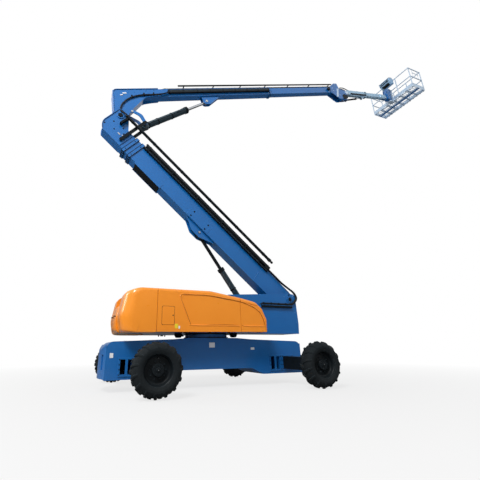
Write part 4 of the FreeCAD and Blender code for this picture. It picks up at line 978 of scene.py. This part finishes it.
def knuckle_details():
    """The knuckle's edge flange, its pins with caps and keepers, and the hoses round the pin."""
    crown = rounded([(7.50, 0.318), (7.72, 0.318), (8.08, 0.716), (8.478, 0.716), (8.448, -0.10),
                     (8.26, -0.318), (7.60, -0.318)], 0.12, 8)
    edge = crown[19:44]  # from the crown's top round the end and under it
    inner_edge = edge.mean(axis=0) + (edge - edge.mean(axis=0)) * 0.965
    skin, rim = knuckle_side - 0.002, knuckle_side + 0.030
    for side, name in sides:
        out = (0, side, 0)
        seal = ribbon(lower, inner_edge, *span(side, skin, knuckle_side + 0.006), 0.010)
        piece("knuckle_sealing_" + name, seal, "lower_extension", "hose_black")
        flange = ribbon(lower, edge, *span(side, skin, rim), 0.014)
        piece("knuckle_flange_" + name, flange, "lower_extension", "boom_blue")
        pin_face = lower.at(knuckle_s, knuckle_n, side * rim)
        cap = turned([(pole, 0.020), (0.070, 0.018), (0.078, 0.010), (0.080, 0.0),
                      (0.104, -0.001), (0.110, -0.006), (0.110, -0.02)], pin_face, out, 40)
        piece("knuckle_pin_cap_" + name, cap, "lower_extension", "black_paint")
        heads = bolts(ring_places(pin_face, out, 0.093, 6, 0.4), out, 0.008, 0.007)
        dots = bolts([lower.at(s, n, side * knuckle_side) for s, n in (
            (8.24, 0.18), (8.36, -0.10), (8.02, -0.02), (7.86, 0.24), (7.70, 0.10))], out,
            0.018, 0.012)
        piece("knuckle_bolts_" + name, join([heads, dots]), "lower_extension", "black_paint")
        keepers = [slab(lower, rectangle(at, 0.05, 0.018, 0.01), *span(side, 0.221, 0.236), 0.002)
                   for at in ((7.80, -0.02), (7.66, 0.02))]
        piece("knuckle_keepers_" + name, join(keepers), "lower_extension", "zinc")
        root = np.array(joints["link_swing"]["pos_m"]) * (1, 0, 1) + (0, side * 0.2730, 0)
        eye = drum(0.044, -0.004, 0.010, root, out, edge=0.004, count=28)
        piece("link_pin_" + name, eye, "link", "black_paint")
    spine = np.array([upper.at(s, n, -y) for s, n, y in (
        (2.04, 0.925, 0.186), (1.80, 0.868, 0.186), (1.45, 0.845, 0.184), (1.10, 0.842, 0.184),
        (0.75, 0.800, 0.184), (0.45, 0.690, 0.184), (0.22, 0.520, 0.186), (0.09, 0.330, 0.192),
        (0.06, 0.190, 0.230), (0.130, 0.090, 0.268), (0.205, -0.03, 0.272), (0.17, -0.17, 0.272),
        (0.05, -0.25, 0.272))])
    bundle = [hose(spine + upper.across * -down + (0, -out, 0), 0.0145, 130) for down, out in (
        (0.0, 0.0), (0.030, 0.0), (0.015, 0.024), (0.045, 0.022))]
    held = ("lower_extension", "upper_boom", tuple(upper.at(0.10, -0.12)),
            tuple(upper.at(0.09, 0.33)))
    piece("neck_hoses", join(bundle), held, "hose_black")
    straps = [slab(upper, rectangle(at, 0.02, 0.05, 0.01), -0.232, -0.168, 0.003)
              for at in ((1.45, 0.843), (1.08, 0.840), (0.62, 0.760))]
    piece("hose_straps", join(straps), "upper_boom", "black_paint")


# Upper boom

def upper_boom_details():
    """Flanges and keepers of the gooseneck, collar strips, the tray's straps and rails."""
    outer = smooth_path([(-0.163, -0.10), (-0.163, 0.10), (-0.152, 0.28), (-0.09, 0.52),
                         (0.0, 0.88), (0.02, 0.99), (0.06, 1.06), (0.14, 1.097), (0.40, 1.0985),
                         (1.0, 1.0985), (1.69, 1.0985)], 70)
    inner = smooth_path([(1.06, 0.690), (1.12, 0.715), (1.28, 0.745), (1.69, 0.7735)], 50)
    for side, name in sides:
        out, width = (0, side, 0), span(side, neck_side - 0.004, neck_side + 0.026)
        flanges = [ribbon(upper, outer, *width, -0.012), ribbon(upper, inner, *width, 0.012)]
        piece("neck_flanges_" + name, join(flanges), "upper_boom", "boom_blue")
        studs = bolts([upper.at(s, n, side * neck_side) for s, n in (
            (0.55, 0.98), (0.78, 0.985), (1.22, 1.02), (1.52, 1.02))], out, 0.022, 0.010)
        piece("neck_studs_" + name, studs, "upper_boom", "boom_blue")
        keepers = [slab(upper, rectangle(at, *half, 0.01), *span(side, 0.171, 0.184), 0.002)
                   for at, half in (((0.40, 0.93), (0.07, 0.02)), ((0.28, 0.86), (0.05, 0.018)))]
        piece("neck_keepers_" + name, join(keepers), "upper_boom", "plate_white")
        pin = np.array(joints["arm_swing"]["pos_m"]) * (1, 0, 1) + (0, side * 0.2050, 0)
        eye = drum(0.040, -0.004, 0.012, pin, out, edge=0.004, count=28)
        piece("arm_pin_" + name, eye, "arm", "zinc")
        eye = upper.at(cylinder_eye_s, cylinder_eye_n, side * 0.086)
        cap = drum(0.055, 0.0, 0.012, eye, out, edge=0.004, count=28)
        head = bolts([eye + (0, side * 0.012, 0)], out, 0.016, 0.012)
        piece("upper_eye_cap_" + name, join([cap, head]), "upper_boom", "zinc")
    strips = [band(upper, s, s + 0.010, upper_middle, upper_half + 0.003, upper_side + 0.003,
                   0.019) for s in (upper_end - 0.092, upper_end + 0.003)]
    piece("upper_collar_strips", join(strips), "upper_boom", "hose_black")
    screws = [bolts([upper.at(upper_end - 0.04, upper_middle + k * (upper_half + 0.018), y)
                     for y in (-0.09, 0.09)], k * upper.across, 0.011, 0.018) for k in (-1, 1)]
    piece("upper_collar_screws", join(screws), "upper_boom", "black_paint")
    straps = [bar(upper, s, s + 0.035, upper_middle - 0.064, upper_middle + 0.074,
                  tray_face - 0.006, -upper_side - 0.001, 0.003)
              for s in np.linspace(2.06, upper_end - 0.165, 9)]
    piece("tray_straps", join(straps), "upper_boom", "black_paint")
    rails = [bar(upper, 2.06, upper_end - 0.13, n, n + 0.012, tray_face - 0.004, tray_face, 0.001)
             for n in (upper_middle - 0.015, upper_middle + 0.015)]
    piece("tray_rail", join(rails), "upper_boom", "barrel_grey")


def upper_pipe_details():
    """The upper pipe's end fittings and bands, and the slim conduit that hangs beside it."""
    end = np.array([(pole, 0.10), (0.020, 0.10), (0.030, 0.08), (0.030, 0.04), (0.040, 0.036),
                    (0.040, -0.03), (0.0365, -0.034)])
    foot = turned(end * (1, -1), upper.at(2.05, upper_pipe_n), upper.along, 24)
    tip = turned(end, upper.at(head_face - 0.40, upper_pipe_n), upper.along, 24)
    bands = [hoop(0.0362, 0.041, 0.02, upper.at(s, upper_pipe_n), upper.along, 24)
             for s in np.linspace(2.6, head_face - 0.9, 7)]
    piece("upper_pipe_fittings", join([foot, tip] + bands), "upper_extension", "black_paint")
    y, n, stop = -0.150, upper_pipe_n + 0.030, head_face - 0.45
    path = upper.at(np.array([2.56, 2.60, 2.66, 6.0, stop - 0.05, stop]), n, y)
    ties = [bar(upper, s, s + 0.03, upper_pipe_n + 0.010, n + 0.010, y, 0.0, 0.003)
            for s in np.linspace(2.80, stop - 0.15, 7)]
    piece("upper_conduit", join([tube(path, 0.030, 16)] + ties), "upper_extension", "black_paint")


# Cylinders

def cylinder_details():
    """Bands, gland rings, ports and steel pipes on two cylinders, and the caps of their pins.

    Each row: name, foot pin (x, z), eye, the barrel's radius and length, how far out the foot
    pin's cap sits, and the body that carries it.
    """
    out = np.array([0.0, -1.0, 0.0])
    rows = (("lift", (1.690, 1.750), lower.at(lift_eye_s, lift_eye_n), 0.095, 2.050, 0.145,
             "turntable"),
            ("upper", (-2.26767, 8.25492), upper.at(cylinder_eye_s, cylinder_eye_n), 0.110, 1.980,
             0.165, "upper_barrel"))
    for name, (foot_x, foot_z), eye, radius, length, cap_out, carrier in rows:
        body, foot = name + "_barrel", np.array([foot_x, 0.0, foot_z])
        way = (eye - foot) / np.linalg.norm(eye - foot)
        bands = [hoop(radius - 0.002, radius + 0.009, 0.022, foot + way * s, way)
                 for s in (radius * 1.6, length * 0.30, length * 0.62)]
        gland = turned([(radius + 0.012, -0.112), (radius + 0.017, -0.108),
                        (radius + 0.017, -0.004), (radius + 0.006, 0.004),
                        (radius * 0.62, 0.006), (radius * 0.60, 0.0)], foot + way * length, way, 40)
        piece(name + "_cylinder_bands", join(bands + [gland]), body, "black_paint")
        face = foot + way * (length + 0.004)
        heads = bolts(ring_places(face, way, radius * 0.80, 8), way, 0.009, 0.008)
        piece(name + "_gland_bolts", heads, body, "zinc")
        off = out * (radius + 0.016)
        feed = hose([foot + way * s + off * share for s, share in (
            (radius * 2.0, 0.90), (radius * 2.3, 1.0), (length * 0.5, 1.0), (length - 0.22, 1.0),
            (length - 0.16, 0.85))], 0.011, 60)
        ports = [drum(0.024, 0.0, 0.035, foot + way * s + off * 0.80, out, count=16)
                 for s in (radius * 2.0, length - 0.16)]
        piece(name + "_cylinder_pipe", join([feed] + ports), body, "barrel_grey")
        if name == "upper":
            _, beside, _ = basis(way)
            lead = hose([foot + way * s + beside * h + out * d for s, h, d in (
                (0.60, 0.118, 0.02), (0.85, 0.185, 0.05), (1.10, 0.190, 0.09),
                (1.32, 0.120, 0.135), (1.50, -0.010, 0.150), (1.62, -0.110, 0.120),
                (1.74, -0.060, 0.140), (1.78, 0.02, 0.125))], 0.009, 70)
            piece("cylinder_lead", lead, body, "hose_black")
        cap = drum(0.036, 0.0, 0.010, foot + out * cap_out, out, edge=0.003, count=24)
        piece(name + "_foot_pins", twice(cap), carrier, "zinc")
    cap = drum(0.036, 0.0, 0.010, lower.at(lift_eye_s, lift_eye_n, -0.141), out, edge=0.003,
               count=24)
    piece("lift_eye_caps", twice(cap), "lift_rod", "zinc")


# Jib and platform

def jib_details():
    """The boom head's fittings, the jib's pin discs and clamps, and the hoses across its pin."""
    for side, name in sides:
        out = (0, side, 0)
        at = jib.at(0, 0, side * 0.131)
        disc = turned([(pole, 0.020), (0.030, 0.020), (0.034, 0.014), (0.112, 0.012),
                       (0.120, 0.006), (0.120, -0.012), (0.1, -0.014)], at, out, 44)
        heads = bolts(ring_places(at + (0, side * 0.012, 0), out, 0.085, 6), out, 0.010, 0.009)
        piece("jib_pin_disc_" + name, join([disc, heads]), "jib", "galvanised")
        cap = turned([(pole, 0.014), (0.046, 0.013), (0.052, 0.006), (0.052, -0.02)],
                     jib.at(jib_reach, 0, side * 0.096), out, 30)
        piece("level_pin_cap_" + name, cap, "platform_level", "zinc")
        dots = bolts([upper.at(s, n, side * 0.142) for s, n in (
            (10.95, 0.86), (10.95, 1.02), (11.26, 0.60), (11.26, 1.22), (11.34, 0.92))], out,
            0.016, 0.010)
        piece("head_bolts_" + name, dots, "upper_extension", "galvanised")
    block_end = head_face + 0.075
    block = bar(upper, head_face + 0.001, block_end, 0.86, 1.14, -0.075, 0.075, 0.008)
    ports = [drum(0.018, 0.0, 0.05, upper.at(block_end, n, y), upper.along, count=14)
             for n in (0.92, 1.00, 1.08) for y in (-0.04, 0.04)]
    piece("head_manifold", join([block] + ports), "upper_extension", "galvanised")
    spans = [hose([upper.at(head_face + 0.10, n, y * 0.9), upper.at(head_face + 0.20, 1.09, y),
                   upper.at(head_face + 0.36, 1.10, y)]
                  + [jib.at(s, m, y) for s, m in ((0.02, 0.33), (0.22, 0.245), (0.42, 0.205),
                                                  (0.80, 0.200), (1.38, 0.200))], 0.011, 90)
             for n, y in ((1.00, -0.055), (1.03, -0.030), (1.00, 0.030), (1.03, 0.055))]
    held = ("upper_extension", "jib", tuple(upper.at(head_face + 0.20, 1.0)),
            tuple(jib.at(0.28, 0.2)))
    piece("jib_hoses", join(spans), held, "hose_black")
    clamps = [bar(jib, s, s + 0.035, 0.178, 0.222, -0.075, 0.075) for s in (0.46, 0.90, 1.33)]
    piece("jib_clamps", join(clamps), "jib", "black_paint")
    # A black strip along the lower part of the jib's near side
    black_band = bar(jib, 0.30, jib_end - 0.10, jib_middle - jib_half, jib_middle - 0.030,
               -jib_side - 0.012, -jib_side - 0.0005, 0.003)
    piece("jib_side_duct", black_band, "jib", "black_paint")
    brace = slab(upper, [(10.98, 0.50), (11.10, 0.50), (11.36, 0.98), (11.24, 0.98)],
                 -0.150, -0.141, 0.002)
    piece("head_brace", twice(brace), "upper_extension", "galvanised")
    guard = slab(upper, rounded([(11.44, 0.38), (11.76, 0.40), (11.80, 0.56), (11.60, 0.66),
                                 (11.44, 0.60)], 0.05), -0.140, -0.131, 0.002)
    piece("head_guard", twice(guard), "upper_extension", "black_paint")
    reel = drum(0.075, 0.0, 0.10, upper.at(10.62, upper_middle + 0.02, -0.125), (0, -1, 0),
                edge=0.012)
    piece("head_reel", reel, "upper_extension", "hose_black")
    strips = [band(jib, s, s + 0.010, jib_middle, jib_half + 0.003, jib_side + 0.003, 0.016)
              for s in (jib_end - 0.072, jib_end + 0.003)]
    piece("jib_strips", join(strips), "jib", "hose_black")
    gland = turned([(0.013, -0.01), (0.026, -0.008), (0.026, 0.030), (0.020, 0.036),
                    (0.0128, 0.036)], jib.at(jib_end - 0.02, guide_n, guide_y), jib.along, 20)
    piece("guide_gland", gland, "jib", "black_paint")
    end = turned([(pole, 0.030), (0.018, 0.030), (0.022, 0.024), (0.022, -0.03),
                  (0.0125, -0.034)], jib.at(jib_reach - 0.14, guide_n, guide_y), jib.along, 20)
    piece("guide_end", end, "jib_extension", "zinc")


def mesh_strands(x0, x1, half_y, z):
    """Thin wires that cross a rectangle both ways at a slant, each cut at the rectangle's ends."""
    pitch, rise, rim = 0.10, 0.91 * 0.8, 0.007
    strands = []
    for k in range(-10, 35):
        start = -half_y + k * pitch
        for sign in (1, -1):
            a = np.array([x0 + 0.006, sign * start, z])
            b = np.array([x1 - 0.006, sign * (start + rise), z])
            stops = (np.array([rim - half_y, half_y - rim]) - a[1]) / (b[1] - a[1])
            t0, t1 = sorted(np.clip(stops, 0, 1))
            if t1 - t0 >= 0.05:
                ends = a + (b - a) * t0, a + (b - a) * (t0 + t1) / 2, a + (b - a) * t1
                strands.append(tube(ends, 0.0015, 4))
    return join(strands)


def platform_details():
    """Mesh floor, bumpers, kick plates, the entry bar and the corners of the rails."""
    level_pin = joints["platform_levelling"]["pos_m"]
    centre_x, top = level_pin[0] + 0.4372 + 0.675, level_pin[2] + 0.1251
    x0, x1, half_y = centre_x - 0.455, centre_x + 0.455, 1.22
    rail_z, tube_half = top + 1.15, 0.017
    piece("floor_mesh", mesh_strands(x0, x1, half_y, top - 0.006), "platform", "galvanised")
    places = [(x, y, top - 0.110) for y in np.linspace(-half_y + 0.06, half_y - 0.06, 13)
              for x in (x0 + 0.02, x1 - 0.02)]
    foot = turned([(pole, -0.034), (0.016, -0.033), (0.020, -0.026), (0.016, -0.006),
                   (0.016, 0.0)], (0, 0, 0), up, 12)
    piece("floor_bumpers", repeat(foot, places), "platform", "barrel_grey")
    spine = bar(level_line, centre_x - 0.050, centre_x + 0.050, top - 0.118, top - 0.100,
                -half_y + 0.01, half_y - 0.01)
    piece("floor_spine", spine, "platform", "boom_blue")
    kicks = [bar(level_line, x0 + 0.02, x1 - 0.02, top + 0.004, top + 0.10,
                 *span(side, half_y, half_y - 0.004), 0.001) for side, _ in sides]
    kicks += [bar(level_line, x, x + 0.004, top + 0.004, top + 0.10, -half_y + 0.02,
                  half_y - 0.02, 0.001) for x in (x0, x1 - 0.004)]
    piece("kick_plates", join(kicks), "platform", "galvanised")
    bar_z = top + 0.86
    gate = [tube([(x, -half_y + tube_half, top + 0.62), (x, -half_y, bar_z),
                  (x, -half_y + tube_half, rail_z - 0.02)], 0.009, 8)
            for x in (centre_x - 0.20, centre_x + 0.20)]
    gate.append(tube([(x, -half_y, bar_z) for x in (centre_x - 0.24, centre_x, centre_x + 0.24)],
                     0.014, 10))
    piece("entry_bar", join(gate), "platform", "galvanised")
    corners = [(x, y, z) for x in (x0 + tube_half, x1 - tube_half)
               for y in (-half_y + tube_half, half_y - tube_half)
               for z in (top + 0.575, rail_z - tube_half)]
    ball = soft_block((-0.024, -0.024, -0.024), (0.024, 0.024, 0.024), 0.35, 9, 16)
    piece("rail_corners", repeat(ball, corners), "platform", "galvanised")
    console_details(x0, rail_z, top)


def console_details(x, z, floor_z):
    """The console on the rail at x and z: shell, lid, levers, buttons, stop, guard and conduit."""
    shell = rounded([(x - 0.330, z - 0.180), (x - 0.150, z - 0.304), (x - 0.003, z - 0.304),
                     (x - 0.003, z + 0.010), (x - 0.060, z + 0.062), (x - 0.370, z - 0.010)],
                    0.03)
    piece("console_shell", slab(level_line, shell, -0.310, 0.310, 0.012), "platform",
          "console_grey")
    lid = rounded([(x - 0.368, z - 0.004), (x - 0.070, z + 0.064), (x - 0.066, z + 0.078),
                   (x - 0.372, z + 0.012)], 0.006, 3)
    piece("console_lid", slab(level_line, lid, -0.318, 0.318, 0.006), "platform", "galvanised")
    # Black bars in the console's slots and under its foot: painted shade there
    recess_shades = [bar(level_line, x - 0.374, x - 0.345, z - d - 0.034, z - d, -0.27, 0.27)
                for d in (0.045, 0.135)]
    recess_shades.append(bar(level_line, x - 0.30, x - 0.12, z - 0.302, z - 0.22, -0.20, 0.20, 0.01))
    piece("console_recesses", join(recess_shades), "platform", "black_paint")
    face, slope = np.array([x - 0.37, 0.0, z + 0.013]), np.array([0.298, 0.0, 0.066])
    out = np.cross((0, -1, 0), slope / np.linalg.norm(slope))
    stick = [(0.036, 0.0), (0.034, 0.006), (0.026, 0.010), (0.028, 0.015), (0.018, 0.020),
             (0.011, 0.024), (0.011, 0.048), (0.018, 0.054), (0.021, 0.072), (0.016, 0.082),
             (pole, 0.084)]
    levers = [turned(stick, face + slope * 0.5 + (0, y, 0), out, 20) for y in (-0.20, 0.20)]
    buttons = [drum(0.012, 0.0, 0.012, face + slope * k + (0, y, 0), out, count=14)
               for k in (0.30, 0.62) for y in np.linspace(-0.11, 0.11, 6)]
    piece("console_levers", join(levers + buttons), "platform", "hose_black")
    stop = turned([(0.016, 0.0), (0.016, 0.018), (0.026, 0.022), (0.027, 0.034), (0.018, 0.040),
                   (pole, 0.041)], face + slope * 0.82 + (0, 0.265, 0), out, 24)
    piece("console_stop", stop, "platform", "lamp_red")
    guard = hose([(x - 0.30, -0.300, z + 0.02), (x - 0.29, -0.302, z + 0.065),
                  (x - 0.20, -0.300, z + 0.095), (x - 0.09, -0.300, z + 0.085),
                  (x - 0.08, -0.300, z + 0.055)], 0.009, 40)
    piece("console_guard", twice(guard), "platform", "galvanised")
    conduit = hose([(x - 0.20, 0.02, z - 0.30), (x - 0.24, 0.03, z - 0.42),
                    (x - 0.10, 0.06, z - 0.60), (x - 0.075, 0.085, z - 0.85),
                    (x - 0.07, 0.10, z - 1.02), (x - 0.06, 0.10, floor_z - 0.02)],
                   0.016, 90, ripple=0.08, waves=60)
    piece("console_conduit", conduit, "platform", "hose_black")


def drive_details():
    """The rotary drive under the platform: its bolts, side cheeks with a web, and bands."""
    x, _, z = joints["platform_levelling"]["pos_m"]
    swivel_x = joints["platform_rotation"]["pos_m"][0]
    heads = bolts(ring_places((swivel_x, 0, z + 0.715), up, 0.085, 8), up, 0.009, 0.010)
    piece("drive_bolts", heads, "platform", "zinc")
    outline = rounded([(x + 0.150, z - 0.055), (x + 0.360, z - 0.055), (x + 0.360, z + 0.620),
                       (x + 0.260, z + 0.695), (x + 0.180, z + 0.640), (x + 0.150, z + 0.330)],
                      0.03)
    cheeks = [slab(level_line, outline, *span(side, 0.106, 0.118), 0.003) for side, _ in sides]
    web = bar(level_line, x + 0.150, x + 0.165, z - 0.05, z + 0.330, -0.106, 0.106, 0.003)
    piece("drive_cheeks", join(cheeks + [web]), "platform_level", "boom_blue")
    bands = [hoop(0.104, 0.112, 0.012, (swivel_x, 0, z + dz), up, 40)
             for dz in (0.02, 0.30, 0.58)]
    piece("drive_bands", join(bands), "platform_level", "black_paint")


# Picture: floor, light and camera

def studio_floor():
    """A pale floor that keeps the shadow: plain to light, near white to the camera far away."""
    size = 90.0
    mesh = bpy.data.meshes.new("studio_floor")
    mesh.from_pydata([(-size, -size, 0), (size, -size, 0), (size, size, 0), (-size, size, 0)],
                     [], [(0, 1, 2, 3)])
    floor = bpy.data.objects.new("studio_floor", mesh)
    bpy.context.scene.collection.objects.link(floor)
    material = bpy.data.materials.new("studio_floor")
    material.use_nodes = True
    tree = material.node_tree
    shader = tree.nodes["Principled BSDF"]
    shader.inputs["Roughness"].default_value = 0.9
    glow = tree.nodes.new("ShaderNodeEmission")
    glow.inputs["Color"].default_value = (1, 1, 1, 1)
    away = tree.nodes.new("ShaderNodeVectorMath")
    away.operation = "LENGTH"
    tree.links.new(tree.nodes.new("ShaderNodeTexCoord").outputs["Object"], away.inputs[0])
    far = tree.nodes.new("ShaderNodeMapRange")
    far.inputs["From Min"].default_value = 4.0
    far.inputs["From Max"].default_value = 16.0
    tree.links.new(away.outputs["Value"], far.inputs["Value"])
    rays = tree.nodes.new("ShaderNodeLightPath")
    tone = mix_colour(tree, rays.outputs["Is Glossy Ray"], (0.48, 0.48, 0.48), (0.18, 0.18, 0.18))
    tree.links.new(tone, shader.inputs["Base Color"])
    pale = math_node(tree, "MULTIPLY_ADD", far.outputs[0], 0.25, 0.75)
    seen = math_node(tree, "MULTIPLY", pale, rays.outputs["Is Camera Ray"])
    mix = tree.nodes.new("ShaderNodeMixShader")
    tree.links.new(seen, mix.inputs[0])
    tree.links.new(shader.outputs[0], mix.inputs[1])
    tree.links.new(glow.outputs[0], mix.inputs[2])
    tree.links.new(mix.outputs[0], tree.nodes["Material Output"].inputs["Surface"])
    mesh.materials.append(material)


def studio_sky():
    """A sky that is white to the camera and even to rough surfaces.

    Reflections see it brighter towards the top, so that a glossy face shows its slope.
    """
    even = 0.44
    world = bpy.data.worlds.new("studio_sky")
    bpy.context.scene.world = world
    world.use_nodes = True
    tree = world.node_tree
    sky = tree.nodes["Background"]
    sky.inputs["Color"].default_value = (1, 1, 1, 1)
    rays = tree.nodes.new("ShaderNodeLightPath")
    seen = math_node(tree, "MAXIMUM", rays.outputs["Is Camera Ray"],
                     rays.outputs["Is Transmission Ray"])
    level = math_node(tree, "MULTIPLY_ADD", seen, 1 - even, even)
    way = tree.nodes.new("ShaderNodeSeparateXYZ")
    tree.links.new(tree.nodes.new("ShaderNodeTexCoord").outputs["Generated"], way.inputs[0])
    height = tree.nodes.new("ShaderNodeMapRange")
    height.inputs["To Min"].default_value = 0.05
    height.inputs["From Max"].default_value = 0.50
    height.inputs["To Max"].default_value = 1.00
    tree.links.new(way.outputs[2], height.inputs["Value"])
    change = math_node(tree, "SUBTRACT", height.outputs[0], even)
    glossy = math_node(tree, "MULTIPLY", rays.outputs["Is Glossy Ray"], change)
    tree.links.new(math_node(tree, "ADD", level, glossy), sky.inputs["Strength"])


def place_lamps():
    """One large soft lamp from the near front, and two weak ones: name, place, aim, watts, side."""
    for name, place, aim, energy, size in (
            ("key_lamp", (-13, -13, 19), (0, 0, 7), 5200, 7.0),
            ("rear_lamp", (-16, 6, 9), (-1, 0, 4), 800, 6.0),
            ("fill_lamp", (24, -16, 12), (3, 0, 6), 350, 14.0)):
        lamp = bpy.data.lights.new(name, "AREA")
        lamp.energy, lamp.size = energy, size
        holder = bpy.data.objects.new(name, lamp)
        bpy.context.scene.collection.objects.link(holder)
        axis, first, second = basis(np.subtract(place, aim))
        stand(holder, place, first, second, axis)


def photo_camera():
    """The camera at the photograph's place, with its lens and its off-centre frame."""
    data = bpy.data.cameras.new("photo_camera")
    data.sensor_width = sensor_mm
    data.lens = focal_px / photo_side * sensor_mm
    data.shift_x = (photo_side / 2 - centre_px[0]) / photo_side
    data.shift_y = (centre_px[1] - photo_side / 2) / photo_side
    data.clip_end = 500
    holder = bpy.data.objects.new("photo_camera", data)
    bpy.context.scene.collection.objects.link(holder)
    stand(holder, camera_place, camera_right, camera_up, -np.array(camera_ahead))
    bpy.context.scene.camera = holder


def stand(holder, place, right, above, back):
    """A lamp's or camera's place, and its turn from its three axes."""
    turn = Matrix(np.stack([right, above, back], -1).tolist()).to_4x4()
    holder.matrix_world = Matrix.Translation(place) @ turn


dress_solids()
wheels()
running_gear()
chassis_details()
covers()
rear_covers()
turntable_details()
lower_boom_details()
track_details()
pipe_details()
knuckle_details()
upper_boom_details()
upper_pipe_details()
cylinder_details()
jib_details()
platform_details()
drive_details()
studio_floor()
studio_sky()
place_lamps()
photo_camera()
bpy.context.scene.view_settings.view_transform = "Standard"
